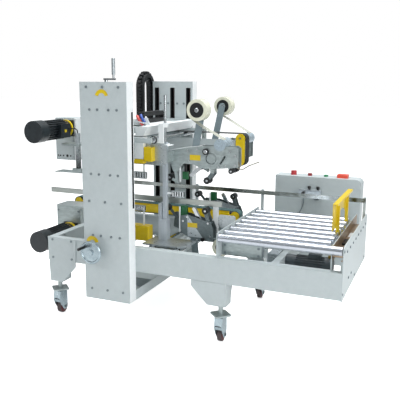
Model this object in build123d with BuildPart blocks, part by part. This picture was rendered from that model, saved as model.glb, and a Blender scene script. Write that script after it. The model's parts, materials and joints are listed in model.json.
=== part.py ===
import os
from math import atan2, degrees

from build123d import *

os.makedirs("parts", exist_ok=True)

# All sections below measure from the machine datum: X from the middle casters, Y from the plane
# midway between the long beams, Z from the floor. The helpers place that datum at mid_x, mid_y, so
# that the origin of the finished part is on the floor under the middle of its bounding box.
# +X points back along the lane, +Y away from the handwheel, +Z up.
mid_x = 344.0
mid_y = -40.0

# Fits
seat = 0.3              # gap under pieces that only rest near each other
running = 0.05          # radial gap of a shaft in its bearing
clear = 6.0             # least gap beside a moving piece
sheet = 5.0             # folded plate of frame, legs and table
bend = 4.0              # outer radius of a fold

# Levels
beam_low = 365.0
beam_high = 150.0
beam_top = beam_low + beam_high
lane_z = beam_top + 145.0       # top of the lower belt
head_z = lane_z + 325.0         # pivot of the applying arm in the upper heads
low_head_z = lane_z - 60.0
low_rod_z = beam_top - 18.0
rail_top = beam_top - 48.0       # cross rails under the lower carriage
high_rod_z = head_z + 160.0

# Across the lane
half_width = 422.0      # centre plane to the outer face of a beam
flange = 45.0
inside = half_width - flange
belt_near = 150.0
belt_far = 210.0
head_wide = 60.0
near_head = -160.0      # outer plate of the near heads
far_head = half_width - 82.0
post_y = near_head - 40.0
rail_near = near_head + 53.0
rail_far = near_head + 68.0

# Along the lane: from the roller table to the outfeed
guide_right = -sheet - clear - 1.0
head_x = guide_right - 138.0
column_x = head_x - 526.0
column_wide = 308.0
column_left = column_x - column_wide / 2
column_right = column_x + column_wide / 2
frame_left = column_left - 322.0
frame_right = 691.0
belt_left = frame_left - 184.0
belt_right = -sheet - 29.0
low_belt_right = belt_right - 32.0
motor_x = belt_left + 68.0

# Columns and their guides
column_depth = 75.0
column_low = 187.0
column_top = 1480.0
slot_low = beam_top + 45.0
slot_top = column_top - 43.0
slot_depth = 60.0
slot_width = 34.0
guide_x = (column_left + 32.0, column_right - 33.0)
screw_x = column_x - 1.0
guide_depth = 32.0      # column face to the axes of guides and screw
guide_radius = 8.0
screw_radius = 9.0
near_y = -half_width - guide_depth
far_y = half_width + guide_depth
base_top = 249.0

# Legs and casters
leg_low = 228.0
leg_depth = 90.0
caster_x = (frame_left + 52.0, 10.0)
caster_y = half_width - 38.0
plate_side = 96.0
plate_low = 165.0
plate_top = 173.0
stem_radius = 14.0
head_radius = 30.0
fork_top = 158.0
fork_wall = 4.0
wheel_radius = 42.0
wheel_width = 32.0
wheel_gap = 5.0
trail = 14.0
pin_radius = 5.0

# Infeed roller table
roller_radius = 24.0
roller_bore = 6.0
roller_z = lane_z - roller_radius - 5.0
plate_high = roller_z + 31.0
roller_first = -half_width + 12.0
roller_pitch = 99.0
roller_count = 8
roller_gap = 4.0        # roller end to side plate
short_end = frame_right - 79.0
strip_x = frame_right - 65.0
table_back = half_width + 30.0

# Pusher: its legs pass between the rollers to a bridge on two track rods
push_face = frame_right - 104.0
push_wall = 4.0
push_top = lane_z + 172.0
leg_wide = 20.0
leg_y = (roller_first + 3.5 * roller_pitch, roller_first + 6.5 * roller_pitch)
track_radius = 10.0
track_z = roller_z - roller_radius - clear - 6.0 - track_radius
track_y = (leg_y[0] + 90.0, leg_y[1] - 90.0)

# Belts and their drives
belt_thick = 4.0
low_belt_low = lane_z - 72.0
high_belt_low = head_z - 28.0
high_belt_top = high_belt_low + 206.0
pulley_radius = 31.0
cover_wall = 4.0
drive_near = 0.0
drive_far = belt_near - 8.0

# Guides of the near carriages
low_rod_x = (column_x + 221.0, column_x + 384.0)
high_rod_x = (column_x + 36.0, column_x + 213.0)
rod_radius = 12.0
bush_radius = 19.0
post_x = low_rod_x[0] + 25.0
post_side = 26.0
post_top = head_z + 141.0
tip_radius = 8.0
tip_top = post_top + 279.0

# Tape heads and reels
head_wall = 5.0
reel_radius = 63.0
reel_core = 38.0
reel_width = 72.0
reel_gap = 2.0
spindle_radius = 8.0


def spot(x, y, z):
    return (mid_x + x, mid_y + y, z)


def at_x(x):
    return Plane(origin=spot(x, 0, 0), x_dir=(0, 1, 0), z_dir=(1, 0, 0))


def at_y(y):
    return Plane(origin=spot(0, y, 0), x_dir=(1, 0, 0), z_dir=(0, -1, 0))


def at_z(z):
    return Plane(origin=spot(0, 0, z))


def save(piece, name):
    piece.part.label = name
    export_step(piece.part, "parts/" + name + ".step")


def block(x, y, z, mode=Mode.ADD):
    """A box between the low and high values of x, y and z."""
    x, y, z = sorted(x), sorted(y), sorted(z)
    with Locations(spot((x[0] + x[1]) / 2, (y[0] + y[1]) / 2, (z[0] + z[1]) / 2)):
        Box(x[1] - x[0], y[1] - y[0], z[1] - z[0], mode=mode)


def bar(axis, start, length, radius, mode=Mode.ADD):
    """A round bar from the point start along +X, +Y or +Z."""
    turn = {"X": (0, 90, 0), "Y": (-90, 0, 0), "Z": (0, 0, 0)}[axis]
    with Locations(Location(spot(*start), turn)):
        Cylinder(radius, length, align=(Align.CENTER, Align.CENTER, Align.MIN), mode=mode)


def plate(plane, points, thickness, radius=0.0, mode=Mode.ADD):
    """A flat plate with this outline, extruded along the normal of its plane."""
    with BuildSketch(plane) as outline:
        with BuildLine():
            Polyline(*points, close=True)
        make_face()
        if radius:
            fillet(outline.vertices(), radius)
    extrude(outline.sketch, amount=thickness, mode=mode)


def side_plate(y, points, radius=0.0, mode=Mode.ADD):
    """A plate in the XZ plane from y to y + head_wall."""
    plate(at_y(y + head_wall), points, head_wall, radius, mode)


def link(y, start, end, width, thickness, mode=Mode.ADD):
    """A flat bar with round ends between two points of an XZ plane."""
    run = Vector(end[0] - start[0], end[1] - start[1])
    middle = ((start[0] + end[0]) / 2, (start[1] + end[1]) / 2)
    with BuildSketch(at_y(y + thickness)) as slot:
        with Locations(Location((middle[0], middle[1], 0), (0, 0, degrees(atan2(run.Y, run.X))))):
            SlotCenterToCenter(run.length, width)
    extrude(slot.sketch, amount=thickness, mode=mode)


def hose(points, turn, radius):
    """A round hose or wire along these points, with arcs at its corners."""
    with BuildLine() as route:
        FilletPolyline(*[spot(*point) for point in points], radius=turn)
    with BuildSketch(Plane(origin=route.line @ 0, z_dir=route.line % 0)) as section:
        Circle(radius)
    sweep(section.sketch, path=route.line)


def barrel(plane, centre, radius, length, fins=0, fin_height=6.0, fin_wall=3.0):
    """A round housing, with cooling fins along it if asked."""
    with BuildSketch(plane) as section:
        with Locations(centre):
            Circle(radius)
            if fins:
                with PolarLocations(radius + fin_height / 2 - 1, fins):
                    Rectangle(fin_height + 2, fin_wall)
    extrude(section.sketch, amount=length)


# Long beams: folded channels open towards the lane
with BuildPart() as long_beams:
    for side in (-1, 1):
        with BuildSketch(at_x(frame_left)) as section:
            with Locations((side * (half_width - flange / 2), beam_low + beam_high / 2)):
                Rectangle(flange, beam_high)
            fillet(section.vertices().group_by(Axis.X)[0 if side < 0 else -1], bend)
            with Locations((side * (half_width - flange / 2 - sheet), beam_low + beam_high / 2)):
                Rectangle(flange, beam_high - 2 * sheet, mode=Mode.SUBTRACT)
        extrude(section.sketch, amount=frame_right - frame_left)
    bar("Y", (column_x - 74, -half_width, beam_top - 23), sheet, 10 + running, Mode.SUBTRACT)
save(long_beams, "long_beams")

# Panel across the outfeed end with the bolt holes for the next conveyor
bolt_y = 250.0
bolt_z = 45.0
with BuildPart() as end_panel:
    block((frame_left, frame_left + flange), (-inside, inside), (beam_low, beam_top))
    block((frame_left + sheet, frame_left + flange), (-inside, inside),
          (beam_low + sheet, beam_top - sheet), Mode.SUBTRACT)
    for y in (-bolt_y, bolt_y):
        for z in (-bolt_z, bolt_z):
            bar("X", (frame_left, y, (beam_low + beam_top) / 2 + z), sheet, 5.5, Mode.SUBTRACT)
save(end_panel, "end_panel")

# Cross rails between the beams, under the lower carriage and the roller table
carriage_rails = ((low_rod_x[0] - 45, low_rod_x[0] + 35), (low_rod_x[1] - 120, low_rod_x[1] - 30))
table_rail = (frame_right - 391, frame_right - 351)
rails = [(*carriage_rails[0], rail_top), (*carriage_rails[1], rail_top), (*table_rail, beam_top)]
with BuildPart() as cross_rails:
    for left, right, top in rails:
        block((left, right), (-inside, inside), (beam_top - 75, top))
        block((left + sheet, right - sheet), (-inside, inside), (beam_top - 75, top - sheet), Mode.SUBTRACT)
save(cross_rails, "cross_rails")

# Columns: folded housings with slots towards the lane for two guides and the lift screw
with BuildPart() as columns:
    for side in (-1, 1):
        face = side * half_width
        with BuildSketch(at_z(column_low)) as section:
            with Locations((column_x, face + side * column_depth / 2)):
                Rectangle(column_wide, column_depth)
            fillet(section.vertices().group_by(Axis.Y)[0 if side < 0 else -1], bend)
        extrude(section.sketch, amount=column_top - column_low)
        for x in (*guide_x, screw_x):
            block((x - slot_width / 2, x + slot_width / 2), (face, face + side * slot_depth),
                  (slot_low, slot_top), Mode.SUBTRACT)
        for x in guide_x:
            bar("Z", (x, side * far_y, slot_low), slot_top - slot_low, guide_radius)
    bar("Z", (screw_x, far_y, slot_low), slot_top - slot_low, screw_radius)
    bar("Z", (screw_x, near_y, slot_low - 25), column_top - slot_low + 25, screw_radius + running,
        Mode.SUBTRACT)
    bar("Y", (column_x - 74, -half_width - column_depth, beam_top - 23), column_depth, 10 + running,
        Mode.SUBTRACT)
    block((column_right - 12, column_right), (near_y + 7, near_y + 26), (slot_low + 195, slot_top - 124),
          Mode.SUBTRACT)
save(columns, "columns")

# Base of the gantry: a tray under the beams with two ribs, which ties the columns together
with BuildPart() as gantry_base:
    block((column_left, column_right), (-half_width, half_width), (column_low, base_top))
    block((column_left + sheet, column_right - sheet), (-half_width, half_width),
          (column_low + sheet, base_top), Mode.SUBTRACT)
    for y in (-half_width / 2, half_width / 2):
        block((column_left + sheet, column_right - sheet), (y, y + sheet), (column_low + sheet, base_top))
save(gantry_base, "gantry_base")

# Leg brackets folded from plate, each with two webs towards the lane
left_leg = [(frame_left + 3, beam_top + 4), (frame_left + 213, beam_top + 1),
            (frame_left + 203, beam_low - 29), (frame_left + 103, leg_low), (frame_left + 11, leg_low)]
mid_leg = [(-163, beam_low), (52, beam_low), (52, leg_low), (-62, leg_low), (-163, beam_low - 34)]
with BuildPart() as leg_brackets:
    for side in (-1, 1):
        face = side * half_width
        inner = face - side * leg_depth
        web = [(face, beam_low), (face - side * 120, beam_low), (inner, leg_low + 30), (inner, leg_low),
               (face, leg_low)]
        plate(at_y(face if side < 0 else face + sheet), left_leg, sheet)
        plate(at_y(face + sheet if side < 0 else face), mid_leg, sheet)
        for low, high in ((frame_left + 11, frame_left + 103), (-62, 52)):
            block((low, high), (face, inner), (leg_low, leg_low + sheet))
            plate(at_x(low), web, sheet)
            plate(at_x(high - sheet), web, sheet)
save(leg_brackets, "leg_brackets")

# Caster plates with their stems, turned half a right angle
with BuildPart() as caster_plates:
    for x in caster_x:
        for side in (-1, 1):
            with BuildSketch(at_z(plate_low)) as outline:
                with Locations(Location((x, side * caster_y, 0), (0, 0, 45))):
                    RectangleRounded(plate_side, plate_side, 8)
            extrude(outline.sketch, amount=plate_top - plate_low)
            bar("Z", (x, side * caster_y, plate_top), leg_low - plate_top, stem_radius)
save(caster_plates, "caster_plates")


# Casters: a pressed fork with a front cover and two cheeks, and a wheel on its pin
def caster_fork(x, y):
    half = wheel_width / 2 + wheel_gap
    wide = half + fork_wall
    axle_y = y + trail
    nose = y - 44
    cheek = [(nose + 8, fork_top), (y + 36, fork_top), (axle_y + 24, 74), (axle_y + 15, 26),
             (axle_y - 15, 26), (y - 30, 66), (nose, 100)]
    with BuildPart() as fork:
        plate(at_x(x - wide), cheek, 2 * wide)
        block((x - half, x + half), (nose + 20, y + 60), (0, fork_top - fork_wall), Mode.SUBTRACT)
        plate(at_x(x - half), [(nose, 0), (y + 60, 0), (y + 60, 70), (nose + 20, 92), (nose, 80)],
              2 * half, mode=Mode.SUBTRACT)
        block((x - 12, x + 12), (nose - 10, nose + 20), (104, 110), Mode.SUBTRACT)
        bar("Z", (x, y, fork_top), plate_low - fork_top - seat, head_radius)
        bar("X", (x - half, axle_y, wheel_radius), 2 * half, pin_radius)
        for side in (-1, 1):
            block((x + side * wide, x + side * (wide + 5)), (axle_y - 8, axle_y + 8),
                  (wheel_radius - 8, wheel_radius + 8))
    return fork


def caster_wheel(x, y):
    """A wheel with a crowned tread, bored for its pin."""
    half = wheel_width / 2
    with BuildPart() as wheel:
        with BuildSketch(Plane(origin=spot(x, y + trail, wheel_radius), x_dir=(1, 0, 0),
                               z_dir=(0, -1, 0))) as section:
            with BuildLine():
                Polyline((-half, pin_radius + running), (half, pin_radius + running), (half, 28),
                         (half - 3, 28), (half - 3, 34), (half - 1, 34), (half - 4, wheel_radius),
                         (4 - half, wheel_radius), (1 - half, 34), (3 - half, 34), (3 - half, 28),
                         (-half, 28), close=True)
            make_face()
        revolve(section.sketch, Axis(spot(x, y + trail, wheel_radius), (1, 0, 0)))
    return wheel


for x, along in zip(caster_x, ("left", "mid")):
    for side, across in ((-1, "near"), (1, "far")):
        name = across + "_" + along
        save(caster_fork(x, side * caster_y), name + "_fork")
        save(caster_wheel(x, side * caster_y), name + "_wheel")

# Side plates of the roller table, rounded at the near top corner
left_side = [(-half_width - 8, beam_top), (half_width - 77, beam_top), (half_width - 77, plate_high),
             (-half_width - 8, plate_high)]
right_side = [(-half_width, beam_low - 8), (table_back + 3, beam_low - 8), (table_back + 3, plate_high - 5),
              (-half_width, plate_high - 5)]
with BuildPart() as table_plates:
    for x, points in ((-sheet, left_side), (frame_right, right_side)):
        with BuildSketch(at_x(x)) as outline:
            with BuildLine():
                Polyline(*points, close=True)
            make_face()
            top = outline.vertices().group_by(Axis.Y)[-1].sort_by(Axis.X)
            fillet(top[0], 36)
            fillet(top[-1], 8)
        extrude(outline.sketch, amount=sheet)
save(table_plates, "table_plates")

# Hexagonal roller axles, from the left plate to the bearer or the right plate
with BuildPart() as roller_axles:
    for k in range(roller_count):
        end = frame_right if k == 0 else strip_x
        with BuildSketch(at_x(0)) as section:
            with Locations((roller_first + k * roller_pitch, roller_z)):
                RegularPolygon(roller_bore, 6)
        extrude(section.sketch, amount=end)
save(roller_axles, "roller_axles")

# Bearer of the short rollers, tray beside it and cover box under the near roller
strip_near = roller_first + 30
with BuildPart() as table_bearers:
    strip = [(strip_near - 20, beam_top), (-inside, beam_top), (-inside, beam_top + 45),
             (table_back, beam_top + 45), (table_back, plate_high - 14), (strip_near, plate_high - 14),
             (strip_near, plate_high - 62), (strip_near - 20, plate_high - 62)]
    plate(at_x(strip_x), strip, sheet)
    block((strip_x + sheet, frame_right), (strip_near, table_back - 52), (beam_top + 73, beam_top + 77))
    block((0, 235), (-inside + 32, -inside + 87), (beam_top, beam_top + 75))
    block((4, 231), (-inside + 28, -inside + 32), (beam_top + 4, beam_top + 71))
    block((0, 12), (inside - 90, inside - 20), (beam_top, beam_top + 75))
    block((frame_right - 12, frame_right), (-inside - 30, -inside), (beam_top, beam_top + 60))
save(table_bearers, "table_bearers")


def table_roller(k):
    end = (frame_right if k == 0 else short_end) - roller_gap
    y = roller_first + k * roller_pitch
    with BuildPart() as roller:
        bar("X", (roller_gap, y, roller_z), end - roller_gap, roller_radius)
        bar("X", (roller_gap, y, roller_z), end - roller_gap, roller_bore + running, Mode.SUBTRACT)
    return roller


for k in range(roller_count):
    save(table_roller(k), "roller_" + str(k + 1))

# Geared motor under the rollers: gear case left of the cross rail, finned motor right of it
gear_z = beam_top - 33
gear_y = -200.0
motor_left = table_rail[1]
with BuildPart() as infeed_motor:
    block((table_rail[0] - 60, table_rail[0]), (gear_y - 50, gear_y + 50), (gear_z - 42, gear_z + 42))
    bar("Y", (table_rail[0] - 30, gear_y - 62, gear_z), 12, 28)
    barrel(at_x(motor_left), (gear_y, gear_z), 38, 60)
    barrel(at_x(motor_left + 60), (gear_y, gear_z), 38, 160, 20, 5.0, 3.0)
    barrel(at_x(motor_left + 220), (gear_y, gear_z), 45, 45)
    block((motor_left + 130, motor_left + 200), (gear_y - 26, gear_y + 26), (gear_z + 30, gear_z + 60))
save(infeed_motor, "infeed_motor")

# Track of the pusher: two round rods below the rollers
with BuildPart() as pusher_track:
    for y in track_y:
        bar("X", (0, y, track_z), strip_x, track_radius)
save(pusher_track, "pusher_track")

# Pusher: a face plate with an arched lower edge and a folded top, on its two legs
push_near = leg_y[0] - 131
push_far = leg_y[1] + 78
arch_low = roller_z + roller_radius + 20
with BuildPart() as pusher:
    with BuildSketch(at_x(push_face)) as outline:
        with BuildLine():
            Polyline((leg_y[1] - leg_wide / 2, arch_low + 32), (leg_y[1] + leg_wide / 2, arch_low + 32),
                     (leg_y[1] + 24, arch_low + 16), (push_far, arch_low + 16), (push_far, push_top),
                     (push_near, push_top), (push_near, arch_low), (leg_y[0] - 24, arch_low),
                     (leg_y[0] - leg_wide / 2, arch_low + 32), (leg_y[0] + leg_wide / 2, arch_low + 32))
            ThreePointArc((leg_y[0] + leg_wide / 2, arch_low + 32), ((leg_y[0] + leg_y[1]) / 2, arch_low + 78),
                          (leg_y[1] - leg_wide / 2, arch_low + 32))
        make_face()
    extrude(outline.sketch, amount=push_wall)
    block((push_face, push_face + 29), (push_near, push_far), (push_top - push_wall, push_top))
    block((push_face + 25, push_face + 29), (push_near, push_far), (push_top - 12, push_top))
    for y in leg_y:
        block((push_face, push_face + 19), (y - leg_wide / 2, y + leg_wide / 2), (track_z - 19, push_top))
    block((push_face - 21, push_face + 19), (leg_y[0] - leg_wide / 2, leg_y[1] + leg_wide / 2),
          (track_z - 19, track_z + 13))
    for y in track_y:
        bar("X", (push_face - 21, y, track_z), 40, track_radius + running, Mode.SUBTRACT)
save(pusher, "pusher")

# Control cabinet behind the table, with its door, buttons, switch box and air unit
cabinet_x = (frame_right - 642, frame_right - 59)
cabinet_near = half_width + 138
cabinet_far = cabinet_near + 140
cabinet_low = 250.0
cabinet_top = 850.0
with BuildPart() as cabinet:
    block(cabinet_x, (cabinet_near, cabinet_far - 18), (cabinet_low, cabinet_top))
    fillet(cabinet.edges().filter_by(Axis.Y).group_by(Axis.Z)[-1].sort_by(Axis.X)[-1], 34)
    block((cabinet_x[0] + 8, cabinet_x[1] - 8), (cabinet_far - 18, cabinet_far - 3),
          (cabinet_low + 8, cabinet_top - 40))
    block((cabinet_x[1] - 42, cabinet_x[1] - 26), (cabinet_far - 3, cabinet_far),
          (cabinet_top - 330, cabinet_top - 250))
    for x in (cabinet_x[0] + 51, cabinet_x[1] - 102):
        block((x, x + 50), (half_width, cabinet_near), (beam_low + 35, beam_low + 75))
        block((x, x + 50), (cabinet_near - sheet, cabinet_near), (beam_low + 15, beam_low + 105))
    for x, radius, tall in ((114, 20, 28), (227, 15, 16), (338, 15, 12)):
        bar("Z", (cabinet_x[0] + x, cabinet_near + 60, cabinet_top), tall, radius)
    block((cabinet_x[0] + 416, cabinet_x[0] + 487), (cabinet_near + 30, cabinet_near + 90),
          (cabinet_top, cabinet_top + 22))
    block((cabinet_x[0] + 175, cabinet_x[0] + 324), (cabinet_near - 30, cabinet_near),
          (cabinet_top - 128, cabinet_top - 84))
    bar("Z", (cabinet_x[0] + 296, cabinet_near - 22, cabinet_top - 150), 30, 18)
save(cabinet, "cabinet")

# Far fence rail on its posts
fence_y = half_width - 28
fence_z = lane_z + 75
with BuildPart() as fence:
    block((frame_left + 2, frame_right - 6), (fence_y, fence_y + 12), (fence_z, fence_z + 26))
    for x in (frame_left + 12, column_right + 42, 3, frame_right - 12):
        block((x - 9, x + 9), (fence_y + 12, fence_y + 26), (beam_top, fence_z + 33))
save(fence, "fence")


def belt_loop(right, low, top, radius):
    """A flat belt laid round rounded corners, one closed loop."""
    with BuildPart() as loop:
        with BuildSketch(at_y(belt_far)) as outline:
            with Locations(((belt_left + right) / 2, (low + top) / 2)):
                RectangleRounded(right - belt_left, top - low, radius)
                RectangleRounded(right - belt_left - 2 * belt_thick, top - low - 2 * belt_thick,
                                 radius - belt_thick, mode=Mode.SUBTRACT)
        extrude(outline.sketch, amount=belt_far - belt_near)
    return loop


# Lower belt with its frame: slider bed, end pulleys, slotted side cover, hubs and feet
low_middle = (low_belt_low + lane_z) / 2
save(belt_loop(low_belt_right, low_belt_low, lane_z, (lane_z - low_belt_low) / 2 - 0.5), "lower_belt")

bed_low = low_belt_low + belt_thick + 1
bed_top = lane_z - belt_thick - 1
with BuildPart() as lower_belt_frame:
    block((belt_left + 75, low_belt_right - 75), (belt_near + 4, belt_far - 4), (bed_low, bed_top))
    for x in (belt_left + 36, low_belt_right - 36):
        bar("Y", (x, belt_near + 2, low_middle), belt_far - belt_near - 4, pulley_radius)
        bar("Y", (x, belt_near - cover_wall, low_middle), cover_wall + 2, 27)
        link(belt_near + 2, (x, low_middle), (column_x, low_middle), 20, 10)
    link(belt_near - cover_wall, (belt_left + 110, low_middle), (low_belt_right - 90, low_middle), 40,
         cover_wall + 4)
    for left, right in ((low_rod_x[0] - 45, low_rod_x[0] - 19), (low_rod_x[1] - 80, low_rod_x[1] - 50)):
        block((left, right), (belt_far - 4, belt_far + 12), (bed_low + 10, bed_top - 10))
        block((left, right), (belt_far + 4, belt_far + 12), (rail_top, bed_top - 10))
    block((motor_x - 22, motor_x + 58), (drive_far, belt_near + 4), (low_belt_low + 12, low_belt_low + 30))
save(lower_belt_frame, "lower_belt_frame")

# Lower drive: a flanged case on a bracket of the end panel
drive_top = lane_z - 36
with BuildPart() as lower_drive_box:
    block((motor_x - 116, motor_x + 78), (drive_near, drive_far), (drive_top - 190, drive_top - 14))
    block((motor_x - 116, motor_x + 99), (drive_near, drive_far), (drive_top - 14, drive_top))
    block((motor_x - 108, motor_x + 70), (drive_near - 3, drive_near), (drive_top - 182, drive_top - 24))
    block((motor_x + 78, frame_left), (20, 120), (beam_top - 75, beam_top - 15))
    gusset = [(motor_x + 78, beam_top - 15), (frame_left, beam_top - 15), (motor_x + 78, beam_top + 45)]
    plate(at_y(72), gusset, sheet)
save(lower_drive_box, "lower_drive_box")


def belt_motor(z, box_x, box_z):
    """A flanged motor along Y with fins, fan cowl and terminal box."""
    centre = (motor_x, z)
    with BuildPart() as motor:
        block((motor_x - 55, motor_x + 55), (-15, -3), (z - 55, z + 55))
        barrel(at_y(-15), centre, 52, 57)
        barrel(at_y(-72), centre, 58, 214, 24, 8.0, 4.0)
        barrel(at_y(-286), centre, 70, 84)
        block(box_x, (-190, -90), box_z)
    return motor


low_motor_z = drive_top - 174
save(belt_motor(low_motor_z, (motor_x - 45, motor_x + 45), (low_motor_z - 84, low_motor_z - 50)),
     "lower_motor")

# Upper belt with its frame: guide bed, four pulleys, end covers and hangers
save(belt_loop(belt_right, high_belt_low, high_belt_top, pulley_radius + belt_thick), "upper_belt")

high_bed = high_belt_low + belt_thick + 1
hanger_x = (column_x + 98, column_x + 152)
pulley_z = (high_belt_low + 36, high_belt_top - 36)
with BuildPart() as upper_belt_frame:
    block((belt_left + 75, belt_right - 75), (belt_near + 4, belt_far - 4), (high_bed, high_bed + 50))
    block((belt_left + 50, belt_right - 50), (belt_near + 4, belt_near + 8), (high_bed + 30, high_rod_z - 25))
    for x in (belt_left + 36, belt_right - 36):
        for z in pulley_z:
            bar("Y", (x, belt_near + 2, z), belt_far - belt_near - 4, pulley_radius)
        link(belt_near, (x, pulley_z[0]), (x, pulley_z[1]), 30, 8)
    link(belt_near - cover_wall, (belt_right - 39, pulley_z[0] - 3), (belt_right - 39, pulley_z[1] + 3),
         62, cover_wall)
    block(hanger_x, (belt_near + 4, belt_far + 12), (high_bed + 38, high_bed + 78))
    block(hanger_x, (belt_far + 4, belt_far + 12), (high_bed + 38, high_rod_z + 20))
    block((motor_x - 22, motor_x + 38), (drive_far, belt_near + 4), (high_bed + 38, high_bed + 138))
save(upper_belt_frame, "upper_belt_frame")

# Upper drive: a tall case with a cover plate and a folded right edge
with BuildPart() as upper_drive_box:
    block((motor_x - 101, motor_x + 52), (drive_near, drive_far), (high_belt_low - 12, high_belt_top + 69))
    block((motor_x + 52, motor_x + 68), (drive_near - 3, drive_far), (high_belt_low - 12, high_belt_top + 69))
    block((motor_x - 93, motor_x + 44), (drive_near - 3, drive_near), (high_belt_low - 4, high_belt_top + 59))
save(upper_drive_box, "upper_drive_box")
save(belt_motor(high_rod_z + 20, (motor_x + 48, motor_x + 84), (high_rod_z - 30, high_rod_z + 60)),
     "upper_motor")

# Crosshead: slide plates at the columns, a square tube and two rods between them
slide_y = half_width - clear - 1
end_y = slide_y - 10
cross_low = high_rod_z - 105
cross_top = high_rod_z + 81
rod_end = -348.0
with BuildPart() as crosshead:
    for side in (-1, 1):
        face = side * slide_y
        block((column_left + 6, column_right - 6), (face, side * end_y), (cross_low, cross_top))
        rib = [(side * end_y, cross_low + 10), (side * end_y, cross_top - 56),
               (side * (end_y - 60), cross_top - 56)]
        plate(at_x(column_x - 84), rib, 8)
    block((column_x - 64, column_x - 14), (-end_y, end_y), (cross_top - 56, cross_top - 4))
    for y in (-300, half_width - 82):
        block((column_x - 14, hanger_x[0]), (y, y + 60), (cross_top - 46, cross_top - 11))
    bar("Y", (high_rod_x[0], -end_y, high_rod_z), 2 * end_y, rod_radius)
    bar("Y", (high_rod_x[1], rod_end, high_rod_z), half_width - 77 - rod_end, rod_radius)
    for y in (rod_end, half_width - 92):
        block((high_rod_x[0] - 14, high_rod_x[1] + 14), (y, y + 10), (high_rod_z - 14, high_rod_z + 14))
save(crosshead, "crosshead")

# Slide blocks and lift nuts of the crosshead, which run inside the column slots
with BuildPart() as slide_blocks:
    for x, radius in zip((*guide_x, screw_x), (guide_radius, guide_radius, screw_radius)):
        for side in (-1, 1):
            for z in (cross_low + 5, cross_top - 43):
                block((x - 11, x + 11), (side * slide_y, side * (far_y + 14)), (z, z + 38))
                bar("Z", (x, side * far_y, z), 38, radius + running, Mode.SUBTRACT)
save(slide_blocks, "slide_blocks")

# Cover beam: sheet folded over the rods, open below
cover_z = high_rod_z + 20
outer = [(hanger_x[0], cover_z), (hanger_x[1], cover_z), (hanger_x[1] + 25, cover_z + 57),
         (hanger_x[0] + 29, cover_z + 57), (hanger_x[0], cover_z + 50)]
inner = [(hanger_x[0] + 3, cover_z - 5), (hanger_x[1] - 5, cover_z - 5), (hanger_x[1] + 20, cover_z + 54),
         (hanger_x[0] + 29, cover_z + 54), (hanger_x[0] + 3, cover_z + 47)]
with BuildPart() as crosshead_cover:
    plate(at_y(end_y), outer, end_y + 300)
    plate(at_y(half_width - 85), inner, half_width - 85 + 297, mode=Mode.SUBTRACT)
    block(hanger_x, (belt_far + 4, belt_far + 12), (cover_z, cover_z + 20))
save(crosshead_cover, "crosshead_cover")


def reel(x, y, z):
    """A roll of tape with a recessed core, bored for the spindle."""
    bore = spindle_radius + running
    with BuildPart() as roll:
        with BuildSketch(Plane(origin=spot(x, y, z), x_dir=(1, 0, 0), z_dir=(0, 0, 1))) as section:
            with BuildLine():
                Polyline((bore, 0), (20, 0), (20, 6), (reel_core, 6), (reel_core, 0), (reel_radius, 0),
                         (reel_radius, reel_width), (reel_core, reel_width), (reel_core, reel_width - 6),
                         (bore, reel_width - 6), close=True)
            make_face()
        revolve(section.sketch, Axis(spot(x, y, z), (0, 1, 0)))
    return roll


def shift(points, x, z):
    return [(x + point[0], z + point[1]) for point in points]


# Tape heads. Their outlines and rollers are measured from the pivot of the applying arm.
head_slope = [(-271, 86), (-160, 109), (-61, 123)]
head_under = [(19, -10), (-65, -11), (-112, 11), (-180, 11), (-222, -45), (-248, -39), (-271, 25)]
head_end = 171.0
far_cut = 89.0          # the upper far head ends this much sooner
apply_roller = (head_x - 28, head_z - 85)
wipe_roller = (head_x - 274, head_z - 80)
cylinder_foot = (head_x - 60, head_z + 4)
cylinder_end = (head_x - 135, head_z - 59)


def upper_head(y, outer_y, end):
    """Side plates, guide rollers, applying arm, wiper arm and pads of an upper head."""
    head_top = [*head_slope, (end - 18, 129), (end, 115), (end, 7), *head_under]
    nip_roller = (head_x + end - 47, head_z - 19)
    inner_y = y + head_wall
    far_plate = y + head_wide - head_wall
    span = head_wide - 2 * head_wall
    for plate_y in (y, far_plate):
        side_plate(plate_y, shift(head_top, head_x, head_z), 5)
    bar("Y", (head_x, outer_y, head_z + 50), head_wall, 34, Mode.SUBTRACT)
    bar("Y", (head_x, inner_y, head_z + 50), span, 30)
    lid = [*head_slope, (-61, 126), (-160, 112), (-271, 89)]
    plate(at_y(far_plate + head_wall), shift(lid, head_x, head_z), head_wide)
    for x, z in ((end - 51, 100), (-150, 35), (-245, 55)):
        bar("Y", (head_x + x, inner_y, head_z + z), span, 7)
    for arm_y in (inner_y, far_plate - 5):
        link(arm_y, (head_x + end - 61, head_z + 15), nip_roller, 18, 5)
    bar("Y", (nip_roller[0], inner_y, nip_roller[1]), span, 15)
    for arm_y in (inner_y + 1, far_plate - 7):
        link(arm_y, (head_x + 4, head_z), (head_x + 7, head_z - 40), 24, 6)
        link(arm_y, (head_x + 7, head_z - 40), apply_roller, 24, 6)
    bar("Y", (head_x + 4, inner_y, head_z), span, 8)
    bar("Y", (apply_roller[0], inner_y, apply_roller[1]), span, 21)
    link(inner_y + 12, cylinder_foot, cylinder_end, 20, 20)
    bar("Y", (cylinder_foot[0], inner_y, cylinder_foot[1]), span, 5)
    link(inner_y, (head_x - 235, head_z - 25), (head_x - 222, head_z - 105), 20, 8)
    link(inner_y, (head_x - 222, head_z - 105), wipe_roller, 16, 8)
    bar("Y", (wipe_roller[0], inner_y, wipe_roller[1]), span, 22)
    block((head_x - 207, head_x - 199), (inner_y, inner_y + 8), (head_z - 103, head_z + 44))
    block((head_x - 194, head_x - 160), (inner_y + 16, inner_y + 40), (head_z - 88, head_z - 43))
    block((head_x - 184, head_x - 172), (inner_y + 22, inner_y + 34), (head_z - 43, head_z + 20))
    block((head_x - 184, head_x - 172), (y, y + head_wide), (head_z + 12, head_z + 24))


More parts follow.
